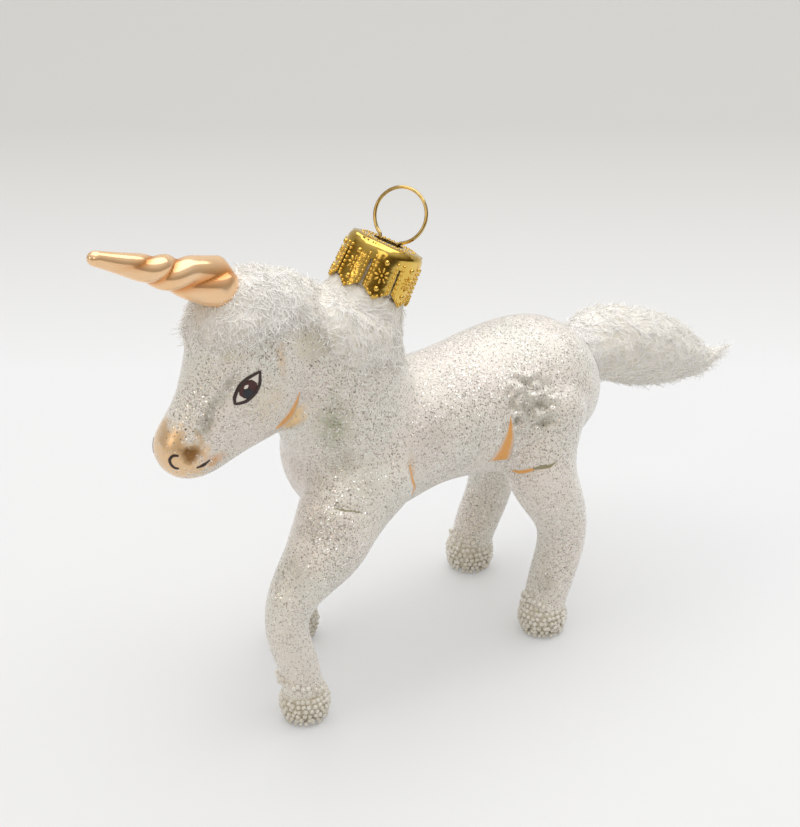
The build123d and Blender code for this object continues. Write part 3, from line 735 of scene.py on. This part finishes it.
# Strokes on the left, mirrored on the right, brushed paint and along the creases painted shade and
# highlights: paint, lift, places along it, half widths
STROKES = {
    "nostril": ("brown", 0.05, (
        (55.65, 3.9, 53.33), (56.32, 3.12, 53.29), (56.74, 2.64, 52.37), (56.59, 2.81, 51.47),
        (56.15, 3.28, 50.89), (55.63, 3.83, 50.88),
    ), (0.16, 0.24, 0.26, 0.26, 0.24, 0.16)),
    "mouth": ("brown", 0.05, (
        (53.1, 5.2, 50.9), (51.91, 5.53, 51.21), (50.9, 5.7, 51.9),
    ), (0.14, 0.3, 0.12)),
    "eye_white": ("white", 0.03, (
        (46.5, 7.0, 61.6), (45.6, 7.4, 62.7), (44.6, 7.8, 64.0), (43.5, 8.1, 65.4), (42.6, 8.3, 66.5),
    ), (0.1, 1.15, 1.5, 1.05, 0.1)),
    "iris": ("russet", 0.06, (
        (45.5, 7.4, 62.7), (45.0, 7.6, 63.3), (44.5, 7.8, 63.9), (44.0, 8.0, 64.6), (43.5, 8.1, 65.2),
    ), (0.5, 1.4, 1.7, 1.4, 0.5)),
    "pupil": ("black", 0.09, (
        (45.1, 7.6, 62.6), (44.6, 7.8, 63.0), (44.0, 8.0, 63.7),
    ), (0.4, 1.15, 0.6)),
    "glint": ("white", 0.12, (
        (45.1, 7.6, 64.1), (44.8, 7.7, 64.4), (44.5, 7.8, 64.7),
    ), (0.1, 0.32, 0.1)),
    "upper_lid": ("brown", 0.1, (
        (46.59, 7.06, 61.48), (46.6, 6.92, 62.6), (45.89, 7.32, 64.6), (44.45, 7.82, 66.0),
        (42.5, 8.36, 66.75),
    ), (0.22, 0.28, 0.3, 0.28, 0.2)),
    "lower_lid": ("brown", 0.1, (
        (46.59, 7.06, 61.48), (44.91, 7.72, 61.7), (43.47, 8.22, 62.9), (42.6, 8.34, 64.5),
        (42.5, 8.36, 66.75),
    ), (0.22, 0.28, 0.3, 0.28, 0.2)),
    "groin": ("gold", 0.03, (
        (-4.1, 11.1, 36.9), (-4.6, 12.0, 39.4), (-5.1, 12.5, 42.0), (-5.6, 12.3, 45.6),
    ), (2.4, 1.7, 0.95, 0.1)),
    "hind_crease": ("gold", 0.03, (
        (-6.7, 10.6, 33.4), (-7.5, 12.8, 34.0), (-8.4, 14.1, 34.7), (-9.4, 15.1, 35.3),
    ), (0.1, 0.3, 0.3, 0.18)),
    # Painted shade: a dark olive line along the hind crease
    "hind_shadow": ("olive", 0.05, (
        (-8.9, 14.6, 35.1), (-10.2, 15.6, 35.5), (-11.3, 16.3, 35.6), (-12.6, 16.4, 36.0),
    ), (0.14, 0.24, 0.17, 0.04)),
    # Painted highlight: a white line for the glint on the fold's lower lip
    "hind_glint": ("white", 0.03, (
        (-7.2, 12.0, 33.1), (-8.5, 13.9, 34.0), (-10.0, 15.2, 34.7), (-11.6, 16.2, 34.9),
    ), (0.05, 0.15, 0.15, 0.05)),
    "throat": ("gold", 0.03, (
        (34.1, 6.8, 59.8), (34.9, 6.5, 57.5), (36.1, 6.4, 55.8), (37.7, 6.3, 54.8), (38.5, 6.1, 54.2),
    ), (0.15, 1.0, 1.4, 1.1, 0.25)),
    "elbow": ("gold", 0.03, (
        (16.0, 12.8, 43.0), (15.7, 13.4, 40.2), (14.6, 12.2, 37.6), (14.4, 10.9, 35.4),
    ), (0.1, 0.3, 0.5, 0.35)),
    # Painted shade: a thin olive line in the knee fold
    "knee_fold": ("olive", 0.03, (
        (31.4, 12.6, 39.7), (29.6, 13.6, 39.1), (27.2, 14.7, 38.5),
    ), (0.03, 0.08, 0.03)),
}
# Paints: name, colour, colour where it lies thin, and the colour that shows at a worn rim
PAINTS = {
    "brown": ("brown_line_enamel", "#24130F", "#3A221B"),
    "white": ("white_enamel_and_painted_highlights", "#F3EFE8", "#E6DFD4"),
    "russet": ("russet_enamel", "#561A12", "#300F0D"),
    "black": ("black_enamel", "#14161C", "#1F2630"),
    "gold": ("rubbed_gold_lacquer", "#F9BE6C", "#EE9F45", "#EFDCCB"),
    # Painted shade: the olive paint stands for shade in the creases
    "olive": ("painted_shade_in_the_creases", "#8A8360", "#B5AE8C"),
}
STROKE_STEPS, STROKE_ROWS, PAINT_THICKNESS = 32, 6, 0.06


class ORNAMENT_OT_paint(Operator):
    """Brush the eyes, nostrils and mouth, lay the gold in the creases, and paint shade and highlights along
    the hind crease and knee fold
    """
    bl_idname = "ornament.paint"
    bl_label = "Paint"

    def execute(self, context):
        paints = {paint: enamel(*looks) for paint, looks in PAINTS.items()}
        glass = bpy.data.objects["glass_figure"]
        count = STROKE_STEPS + 1
        for name, (paint, lift, path, halves) in STROKES.items():
            for hand, flip in (("left", 1), ("right", -1)):
                points = np.array(path) * MM * (1, flip, 1)
                line = resampled(points, count)
                for _ in range(6):
                    line[1:-1] = line[1:-1] * 0.5 + (line[:-2] + line[2:]) * 0.25
                half = np.interp(np.linspace(0, len(points) - 1, count), range(len(points)), halves) * MM
                stroke = made(bpy.ops.mesh.primitive_grid_add, x_subdivisions=STROKE_STEPS,
                              y_subdivisions=STROKE_ROWS, size=2)
                stroke.name = stroke.data.name = f"{name}_{hand}"
                base = places(stroke)
                u, v = (base[:, 0] + 1) / 2 * STROKE_STEPS, base[:, 1]
                out = np.array([glass.closest_point_on_mesh(spot)[2] for spot in line])
                side = unit(np.cross(unit(np.gradient(line, axis=0)), out))
                width = v * np.interp(u, range(count), half)
                put(stroke, blended(u, line) + blended(u, side) * width[:, None])
                mark(stroke, "rim", np.abs(v))
                modify(stroke, "SHRINKWRAP", target=glass, wrap_method="NEAREST_SURFACEPOINT",
                       wrap_mode="ABOVE_SURFACE", offset=lift * MM)
                modify(stroke, "SOLIDIFY", thickness=PAINT_THICKNESS * MM, offset=0)
                edit(stroke, bpy.ops.mesh.normals_make_consistent, inside=False)
                shade(stroke)
                finish(stroke, "figure", paints[paint])
        return {"FINISHED"}


# The flock's edge: a slanted plane's place and direction, and the edge's rise over it along the figure
FLOCK_EDGE_PLACE = np.array((18.17, 0.0, 62.35)) * MM
FLOCK_EDGE_UP = np.array((-sin(radians(20.0)), 0.0, cos(radians(20.0))))
FLOCK_EDGE_RISE = (
    (10, -1.5), (16, -1.9), (24, -2.6), (28.3, -1.9), (30, 2.6), (34.3, 4.0), (38, 1.6), (42.8, 0.2),
    (47.7, -2.1), (50.5, -3.7),
)
# The cone of flock round the pike: radius at its foot and its top, height, rise of its middle
CONE_FOOT, CONE_TOP, CONE_HEIGHT, CONE_RISE = 8.6, 6.1, 9, 2.9
# Where forelock and mane part, the fibres on each, and the least depth and the wall of the ground under them
FLOCK_PARTING, FLOCK_FIBRES, LEAST_FLOCK, FLOCK_WALL = 33.0, 4600, 0.05, 0.5


def above_edge(co):
    """Height of each place over the flock's uneven edge."""
    height = (co - FLOCK_EDGE_PLACE) @ FLOCK_EDGE_UP
    rise = np.interp(co[:, 0] / MM, *zip(*FLOCK_EDGE_RISE)) * MM
    coarse, fine = lumps(co, 3.0 * MM, seed=11), lumps(co, 1.1 * MM, seed=13)
    return height - rise + coarse * 1.2 * MM + fine * 0.5 * MM


class ORNAMENT_OT_flock(Operator):
    """Coat the poll and neck with matted fibre"""
    bl_idname = "ornament.flock"
    bl_label = "Mane and forelock"

    def execute(self, context):
        form = context.scene.ornament_flock
        # Painted shade: the ground's greyer colours darken the gaps between the strands
        ground = white_flock("flock_ground_with_painted_shade", linear("#E8E1D3"), linear("#FDFAF3"))
        material = white_flock("viscose_flock_strands", linear("#FBFAF6"), form.white)
        bed = linked("flock_bed", bpy.data.objects["glass_figure"].data.copy())
        cone = made(bpy.ops.mesh.primitive_cone_add, vertices=48, radius1=CONE_FOOT * MM,
                    radius2=CONE_TOP * MM, depth=CONE_HEIGHT * MM, location=on_pike(CONE_RISE * MM),
                    rotation=PIKE_TURN)
        bed = fused([bed, cone], "flock_bed", context.scene.ornament_glass.grain)
        up, off_axis = round_pike(places(bed))
        soften(bed, (off_axis < 13 * MM) & (up > -5 * MM) & (up < 4 * MM), 16)
        co = places(bed)
        up, off_axis = round_pike(co)
        under_cap = (off_axis < 8 * MM) & (up > 7.1 * MM)
        in_pike = (off_axis < 5.2 * MM) & (up > -2 * MM)
        edit(bed, bpy.ops.mesh.delete, (above_edge(co) < 0) | under_cap | in_pike, type="VERT")
        bed = largest_shell(bed)
        co, out = places(bed), normals(bed)
        up, off_axis = round_pike(co)
        # Thin at its edge, under the cap, behind the neck and on the brow
        uneven = 1 + 0.35 * lumps(co, 2.2 * MM, seed=17)
        thick = form.depth * smoothstep(above_edge(co) / (2.4 * MM)) * uneven
        thick *= 1 - smoothstep((up - 1 * MM) / (3.2 * MM)) * (off_axis < 9.5 * MM)
        thick *= 1 - 0.75 * smoothstep((17 * MM - co[:, 0]) / (4 * MM))
        thick *= 1 - 0.7 * smoothstep((co[:, 0] - 44 * MM) / (4 * MM))
        thick += LEAST_FLOCK * MM
        put(bed, co + out * thick[:, None])
        modify(bed, "SOLIDIFY", thickness=FLOCK_WALL * MM, offset=-1)
        shade(bed)
        finish(bed, "figure", ground, ("mane_flock", "forelock_flock"))

        def clear_of_cap(spots):
            rise, off = round_pike(spots)
            return ~((off < 9 * MM) & (rise > 5.4 * MM))

        def hanging(spots):
            aside = np.sign(spots[:, 1:2]) * (0, 0.5, 0)
            return aside + (0.25, 0, -1.0)

        def on_head(spots):
            return (spots[:, 0] > FLOCK_PARTING * MM) & clear_of_cap(spots)

        def on_neck(spots):
            return (spots[:, 0] <= FLOCK_PARTING * MM) & clear_of_cap(spots)

        for name, seed, keep in (("forelock_fibres", 21, on_head), ("mane_fibres", 22, on_neck)):
            strands = fibres(name, bed, FLOCK_FIBRES, hanging, spread=1.0, form=form, seed=seed, keep=keep)
            finish(strands, "figure", material)
        return {"FINISHED"}


# The tail: size of its skin's faces, slimming of its tip, sag of its root, and the root's push into the rump
TAIL_GRAIN, TIP_SLIMMING, ROOT_SAG = 0.5, 0.45, 1.8
ROOT_PUSH = np.array((1.5 * MM, 0, -0.3 * MM))


class ORNAMENT_OT_tail(Operator):
    """Coat the tail's plume with combed fibre"""
    bl_idname = "ornament.tail"
    bl_label = "Tail"

    def execute(self, context):
        form = context.scene.ornament_flock
        ground, material = (bpy.data.materials[n] for n in ("flock_ground_with_painted_shade", "viscose_flock_strands"))
        parts = [copy_of("tail", "tail_core"), copy_of("tail_flock", "tail_coat")]
        plume = fused(parts, "tail_bed", TAIL_GRAIN * MM)
        soften(plume, None, 4)
        co, out = places(plume), normals(plume)
        run = co[:, 0] - co[:, 0].min()
        left = run.max() - run
        co = co + out * ((lumps(co, 2.4 * MM, seed=31) * 0.35 - 0.25) * MM)[:, None]
        steps = np.linspace(0, run.max(), 25)
        slices = [co[np.abs(run - step) < 1.2 * MM, 2] for step in steps]
        middle = np.interp(run, steps, [(s.min() + s.max()) / 2 for s in slices])
        slim = 1 - TIP_SLIMMING * smoothstep(1 - run / (11 * MM))
        co[:, 2] = middle + (co[:, 2] - middle) * slim
        co[:, 1] *= slim
        sag = smoothstep(1 - left / (9 * MM)) * np.clip((co[:, 2] - middle) / (4 * MM), 0, 1)
        push = smoothstep((4 * MM - left) / (3 * MM))
        put(plume, co - UP * (ROOT_SAG * MM) * sag[:, None] + ROOT_PUSH * push[:, None])
        shade(plume)
        finish(plume, "figure", ground, ("tail", "tail_flock"))

        def combed(spots):
            return np.tile((-1.0, 0.0, -0.2), (len(spots), 1))

        def upward(spots):
            return np.tile((1.0, 0.0, 0.3), (len(spots), 1))

        def at_root(spots):
            return spots[:, 0] > spots[:, 0].max() - 5.5 * MM

        for name, count, flow, spread, seed, keep in (("tail_fibres", 3600, combed, 0.85, 33, None),
                                                      ("tail_root_fibres", 1100, upward, 0.8, 34, at_root)):
            strands = fibres(name, plume, count, flow, spread, form, seed, keep)
            finish(strands, "figure", material)
        return {"FINISHED"}


# The glue under the beads: its shares of the hoof's sizes, the level it shrinks to, and its drop
GLUE_SHARES, GLUE_LEVEL, GLUE_DROP = (0.83, 0.83, 0.87), 0.5, 0.3
# Rise of a row as a share of a bead, radii of the rings under the sole, and range of the bead sizes
ROW_RISE, SOLE_RINGS, BEAD_SIZES = 0.86, np.arange(0.4, 3.1, 0.9) * MM, (0.84, 1.0)
# Unevenness of the rows: turn, place outwards, height
TURN_SLIP, OUT_SLIP, RISE_SLIP = 0.035, 0.06, 0.07
# Beads that climb the front of a leg: how many are tried, half their turn, how high they reach
CLIMBERS = {"front": (90, 2.4, 2.4), "hind": (46, 1.1, 3.4)}
# Their fall towards the sides, and their lift and least gap as shares of a bead's radius and of a bead
CLIMB_FALL, CLIMB_LIFT, CLIMB_GAP = 0.85, 0.6, 0.8
HOOF_SEED = 41


def hoof_radius(share):
    """Radius of a bead hoof at that share of its height."""
    return (3.55 + 1.1 * sin(pi * min(0.98, 0.12 + share * 0.72)) - 0.25 * share) * MM


class ORNAMENT_OT_hooves(Operator):
    """Set the beads round each hoof"""
    bl_idname = "ornament.hooves"
    bl_label = "Bead hooves"

    def execute(self, context):
        form = context.scene.ornament_hoof
        material = bead_glass("cream_glass_micro_beads", linear("#EDE8DC"), form.cream, form.bead)
        # Painted shade: the glue's greyer tone darkens the gaps between the beads
        glue = bead_glass("glue_with_painted_shade_between_beads", linear("#D6CFBE"), linear("#E2DBCC"), form.bead)
        glass = bpy.data.objects["glass_figure"]
        ball = form.bead / 2
        for number, leg in enumerate(LEGS):
            rng = np.random.RandomState(HOOF_SEED + number)
            low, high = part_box(f"hoof_beads_{leg}")
            centre = (low + high) / 2
            tall = high.z - low.z
            bed = copy_of(f"hoof_beads_{leg}", f"hoof_glue_{leg}")
            middle = np.array((centre.x, centre.y, high.z - GLUE_LEVEL * MM))
            put(bed, (places(bed) - middle) * GLUE_SHARES + middle - (0, 0, GLUE_DROP * MM))
            spots = []
            rows = int((tall - form.bead) / (form.bead * ROW_RISE))
            for row in range(rows + 1):
                height = ball + (tall - 2 * ball) * (row / rows)
                ring = hoof_radius(row / rows) - ball * 0.9
                count = int(2 * pi * ring / form.bead)
                for k in range(count):
                    turn = 2 * pi * (k + 0.5 * (row % 2)) / count + rng.normal(0, TURN_SLIP)
                    out = ring + rng.normal(0, OUT_SLIP) * MM
                    rise = max(ball, height + rng.normal(0, RISE_SLIP) * MM)
                    spots.append((centre.x + out * cos(turn), centre.y + out * sin(turn), low.z + rise))
            for ring in SOLE_RINGS:
                count = max(3, int(2 * pi * ring / form.bead))
                for turn in (2 * pi * k / count for k in range(count)):
                    spots.append((centre.x + ring * cos(turn), centre.y + ring * sin(turn), low.z + ball))
            tries, spread, climb = CLIMBERS[leg.split("_")[0]]
            for _ in range(tries):
                turn, share = rng.uniform(-spread, spread), rng.uniform(0, 1)
                height = high.z + climb * MM * share * (1 - abs(turn) / spread * CLIMB_FALL)
                beside = np.array((centre.x, centre.y, height)) + np.array((cos(turn), sin(turn), 0)) * 9 * MM
                _, spot, face, _ = glass.closest_point_on_mesh(beside)
                spot = np.array(spot + face * ball * CLIMB_LIFT)
                if np.linalg.norm(np.array(spots) - spot, axis=1).min() > form.bead * CLIMB_GAP:
                    spots.append(tuple(spot))
            bead = made(bpy.ops.mesh.primitive_uv_sphere_add, segments=8, ring_count=5, radius=ball)
            turns = np.eye(3)[None] * rng.uniform(*BEAD_SIZES, len(spots))[:, None, None]
            beads = copies(f"bead_hoof_{leg}", bead, turns, np.array(spots))
            finish(beads, "figure", material, (f"hoof_beads_{leg}",))
            finish(bed, "figure", glue)
        return {"FINISHED"}


# The cap's stamping. Heights are from 0.3 mm under its top, and sizes are in widths of a dot
PETALS = 8
SIDE_HEIGHTS, SIDE_TURN = np.arange(-1.9, -6.9, -0.78), radians(17.4)
POINT_SHARES, POINT_TURN, POINT_START, POINT_DROP = (0.0, 0.36, 0.7), radians(16.8), -7.1, 1.25
MIDDLE_DOTS = ((-8.35, 1.0), (-2.3, 1.75), (-6.9, 1.75), (-4.6, 0.9))
FLOWER_LEAVES, FLOWER_HEIGHT, FLOWER_RADIUS, LEAF_LONG, LEAF_WIDE = 8, -4.6, 0.95, 1.75, 0.7
# Rings of dots on the cap's top: radius, count, size
TOP_RINGS = ((4.75, 36, 0.85), (3.5, 26, 0.7))


def out_of_cap(turn):
    """The direction away from the cap's axis at that turn."""
    return CAP_FRONT * cos(turn) + LEFT * sin(turn)


def petal_dots(middle):
    """The dots and leaves on one petal: turn, height, length, width and swing of each."""
    dots = []
    for edge in (-1, 1):
        for height in SIDE_HEIGHTS:
            dots.append((middle + edge * SIDE_TURN, height, 1.0, 1.0, 0.0))
        for share in POINT_SHARES:
            turn = middle + edge * POINT_TURN * (1 - share)
            dots.append((turn, POINT_START - POINT_DROP * share, 1.0, 1.0, 0.0))
    for height, size in MIDDLE_DOTS:
        dots.append((middle, height, size, size, 0.0))
    for k in range(FLOWER_LEAVES):
        swing = 2 * pi * k / FLOWER_LEAVES
        turn = middle + cos(swing) * FLOWER_RADIUS / 6.8
        dots.append((turn, FLOWER_HEIGHT + sin(swing) * FLOWER_RADIUS, LEAF_LONG, LEAF_WIDE, swing))
    return dots


class ORNAMENT_OT_cap(Operator):
    """Stamp the crown cap's petals"""
    bl_idname = "ornament.cap"
    bl_label = "Crown cap"

    def execute(self, context):
        form = context.scene.ornament_cap
        material = stamped_gilt(form)
        cup = copy_of("cap", "crown_cap")
        shade(cup, 35)
        finish(cup, "cap", material, ("cap",))
        turned = Matrix.Translation(CAP_TOP) @ Matrix.Rotation(form.turn, 4, Vector(PIKE_AXIS))
        cup.data.transform(turned @ Matrix.Translation(-CAP_TOP))
        spots, turns = [], []
        for petal in range(PETALS):
            for turn, height, long, wide, swing in petal_dots(2 * pi * petal / PETALS + form.turn):
                outward = out_of_cap(turn)
                # The skirt widens from 6.6 mm at its top to 7 mm at its points
                reach = (6.6 + 0.4 * (0.3 - height) / 9.2) * MM
                spots.append(CAP_TOP + PIKE_AXIS * (height - 0.3) * MM + outward * reach)
                lengthways = np.cross(PIKE_AXIS, outward) * cos(swing) + PIKE_AXIS * sin(swing)
                crossways = np.cross(outward, lengthways) * wide
                shape = [outward * 1.15 * wide ** 0.5, lengthways * long, crossways]
                turns.append(np.stack(shape, axis=1))
        for ring, count, size in TOP_RINGS:
            for outward in (out_of_cap(2 * pi * k / count) for k in range(count)):
                spots.append(CAP_TOP + outward * ring * MM)
                shape = [PIKE_AXIS * 0.6, outward, np.cross(PIKE_AXIS, outward)]
                turns.append(np.stack(shape, axis=1) * size)
        dot = made(bpy.ops.mesh.primitive_uv_sphere_add, segments=8, ring_count=5, radius=form.dot / 2)
        embossing = copies("cap_embossing", dot, np.array(turns), np.array(spots))
        edit(embossing, bpy.ops.mesh.normals_make_consistent, inside=False)
        finish(embossing, "cap", material)
        return {"FINISHED"}


class ORNAMENT_OT_hanger(Operator):
    """Finish the wire hanger"""
    bl_idname = "ornament.hanger"
    bl_label = "Wire hanger"

    def execute(self, context):
        form = context.scene.ornament_cap
        wire = copy_of("hanger", "wire_hanger")
        edit(wire, bpy.ops.transform.shrink_fatten, value=-0.05 * MM)
        shade(wire, 50)
        finish(wire, "hanger", brass_wire(form), ("hanger",))
        return {"FINISHED"}


# The camera's direction from its target, its distance and its lens
SIGHT = Vector((0.5064, 0.7233, 0.4695))
CAMERA_TARGET, CAMERA_DISTANCE, CAMERA_LENS = Vector((5.65, -5.0, 42.0)) * MM, 0.48, 119.1
# The paper in metres: half length, half width, where it bends, its curve and its drop under the feet
SWEEP_LENGTH, SWEEP_WIDTH, SWEEP_BEND, SWEEP_CURVE, SWEEP_DROP = 1.3, 1.6, 0.45, 0.35, 0.0002
# The share of the paper's level that is a painted glow, not lit by the lamps, and that level
PAPER_GLOW, PAPER_LEVEL = 0.3, 1.17
# The room from below to above, and its strength
ROOM_TONES = ((0.42, "#B9B7B2"), (0.54, "#5E5138"), (0.64, "#8E7F60"), (0.85, "#FFFFFF"))
ROOM_STRENGTH = 0.62
# Lamps: place in metres, watts, size in metres, colour. All aim at the middle of the figure
LAMPS = {
    "key": ((-0.20, -0.13, 0.85), 7.9, 1.2, "#FFFFFF"),
    "fill": ((0.42, 0.62, 0.55), 0.62, 0.4, "#FFEDD6"),
    "strip": ((0.70, -0.05, 0.30), 0.42, 0.2, "#FFEDD6"),
}
LAMP_AIM = Vector((0.0, 0.0, 0.045))


def seamless_paper(form, away):
    """Pale matt paper, greyer where it runs out of the light as painted shade, with a painted glow that keeps
    its shadow light.
    """
    material, add, shader, place = new_material("seamless_paper")
    grain = add("TexNoise", {"Vector": place, "Scale": 1 / (0.8 * MM), "Detail": 2.0})
    depth = add("VectorMath", {0: place, 1: away}, operation="DOT_PRODUCT")
    far = add("MapRange", {"Value": depth, "From Min": 0.10, "From Max": 0.24})
    tone = add("Mix", {"Factor": far, 6: form.paper, 7: form.far_paper_painted_shade}, data_type="RGBA")
    bump = add("Bump", {"Height": grain, "Strength": 0.05, "Distance": 0.05 * MM})
    fill(shader, {"Base Color": tone, "Normal": bump, "Roughness": 0.8})
    # Painted light: the paper glows for camera and glossy rays, so its shadow stays light
    path = add("LightPath").outputs
    straight = add("Math", {0: path["Is Camera Ray"], 1: path["Is Glossy Ray"]}, operation="ADD")
    seen = add("Math", {0: straight, 1: path["Is Transmission Ray"]}, operation="ADD", use_clamp=True)
    share = add("Math", {0: seen, 1: PAPER_GLOW}, operation="MULTIPLY")
    glow = add("Emission", {"Color": tone, "Strength": PAPER_LEVEL})
    both = add("MixShader", {0: share, 1: shader, 2: glow})
    fill(material.node_tree.nodes["Material Output"], {"Surface": both})
    material.cycles.emission_sampling = "NONE"
    return material


def aimed(name, data, spot, target):
    """A lamp or camera in the scene, turned to its target."""
    holder = bpy.data.objects.new(name, data)
    bpy.context.scene.collection.objects.link(holder)
    holder.location = spot
    holder.rotation_euler = (target - holder.location).to_track_quat("-Z", "Y").to_euler()
    return holder


class ORNAMENT_OT_stage(Operator):
    """Set the paper sweep, the lamps and the camera"""
    bl_idname = "ornament.stage"
    bl_label = "Stage"

    def execute(self, context):
        form = context.scene.ornament_stage
        scene = context.scene
        scene.view_settings.view_transform = "Standard"
        away = Vector((-SIGHT.x, -SIGHT.y, 0.0)).normalized()
        sweep = made(bpy.ops.mesh.primitive_grid_add, x_subdivisions=40, y_subdivisions=40, size=2)
        sweep.name = sweep.data.name = "paper_sweep"
        base = places(sweep)
        run = base[:, 0] * SWEEP_LENGTH
        bend = np.clip(run - SWEEP_BEND, 0, None)
        flat = np.minimum(run, SWEEP_BEND) + SWEEP_CURVE * np.tanh(bend / SWEEP_CURVE)
        lift = np.clip(bend - 0.1, 0, None) ** 1.5 * 1.2
        across = np.array((away.y, -away.x, 0.0))
        put(sweep, np.array(away) * flat[:, None] + across * (base[:, 1] * SWEEP_WIDTH)[:, None]
            + UP * lift[:, None] - (0, 0, SWEEP_DROP))
        shade(sweep)
        sweep.data.materials.append(seamless_paper(form, away))
        scene.world = bpy.data.worlds.new("soft_room")
        scene.world.use_nodes = True
        room = scene.world.node_tree
        add = partial(add_node, room)
        sight = add("TexCoord").outputs["Generated"]
        level = add("SeparateXYZ", {0: sight}).outputs[2]
        span = add("MapRange", {"Value": level, "From Min": -1.0, "From Max": 1.0})
        walls = add("ValToRGB", {"Fac": span})
        *tones, top = [(spot, linear(code)) for spot, code in ROOM_TONES]
        set_stops(walls.color_ramp, *tones, last=top)
        fill(room.nodes["Background"], {"Color": walls, "Strength": ROOM_STRENGTH})
        for name, (spot, energy, size, code) in LAMPS.items():
            lamp = bpy.data.lights.new(name, "AREA")
            lamp.energy, lamp.size, lamp.color = energy, size, linear(code)[:3]
            aimed(name, lamp, spot, LAMP_AIM)
        camera = bpy.data.cameras.new("photo_camera")
        camera.lens = CAMERA_LENS
        camera.sensor_width = 36.0
        camera.clip_start = 0.01
        eye = CAMERA_TARGET + SIGHT * CAMERA_DISTANCE
        scene.camera = aimed("photo_camera", camera, eye, CAMERA_TARGET)
        return {"FINISHED"}


class ORNAMENT_PT_panel(Panel):
    """The ornament's pieces, in the order they are made"""
    bl_idname = "ORNAMENT_PT_panel"
    bl_label = "Unicorn ornament"
    bl_space_type = "VIEW_3D"
    bl_region_type = "UI"
    bl_category = "Ornament"

    def draw(self, context):
        for operator in OPERATORS:
            self.layout.operator(operator.bl_idname)
        for group in SETTINGS:
            form = getattr(context.scene, group)
            column = self.layout.column(align=True)
            for key in form.__annotations__:
                column.prop(form, key)


SETTINGS = {
    "ornament_glass": GlassSettings,
    "ornament_horn": HornSettings,
    "ornament_flock": FlockSettings,
    "ornament_hoof": HoofSettings,
    "ornament_cap": CapSettings,
    "ornament_stage": StageSettings,
}
OPERATORS = (
    ORNAMENT_OT_glass,
    ORNAMENT_OT_horn,
    ORNAMENT_OT_paint,
    ORNAMENT_OT_flock,
    ORNAMENT_OT_tail,
    ORNAMENT_OT_hooves,
    ORNAMENT_OT_cap,
    ORNAMENT_OT_hanger,
    ORNAMENT_OT_stage,
)


def register():
    for kind in (*SETTINGS.values(), *OPERATORS, ORNAMENT_PT_panel):
        bpy.utils.register_class(kind)
    for name, group in SETTINGS.items():
        setattr(bpy.types.Scene, name, PointerProperty(type=group))


def unregister():
    for name in SETTINGS:
        delattr(bpy.types.Scene, name)
    for kind in reversed((*SETTINGS.values(), *OPERATORS, ORNAMENT_PT_panel)):
        bpy.utils.unregister_class(kind)


def main():
    register()
    bpy.ops.ornament.glass()
    bpy.ops.ornament.horn()
    bpy.ops.ornament.paint()
    bpy.ops.ornament.flock()
    bpy.ops.ornament.tail()
    bpy.ops.ornament.hooves()
    bpy.ops.ornament.cap()
    bpy.ops.ornament.hanger()
    bpy.ops.ornament.stage()


if __name__ == "__main__":
    main()
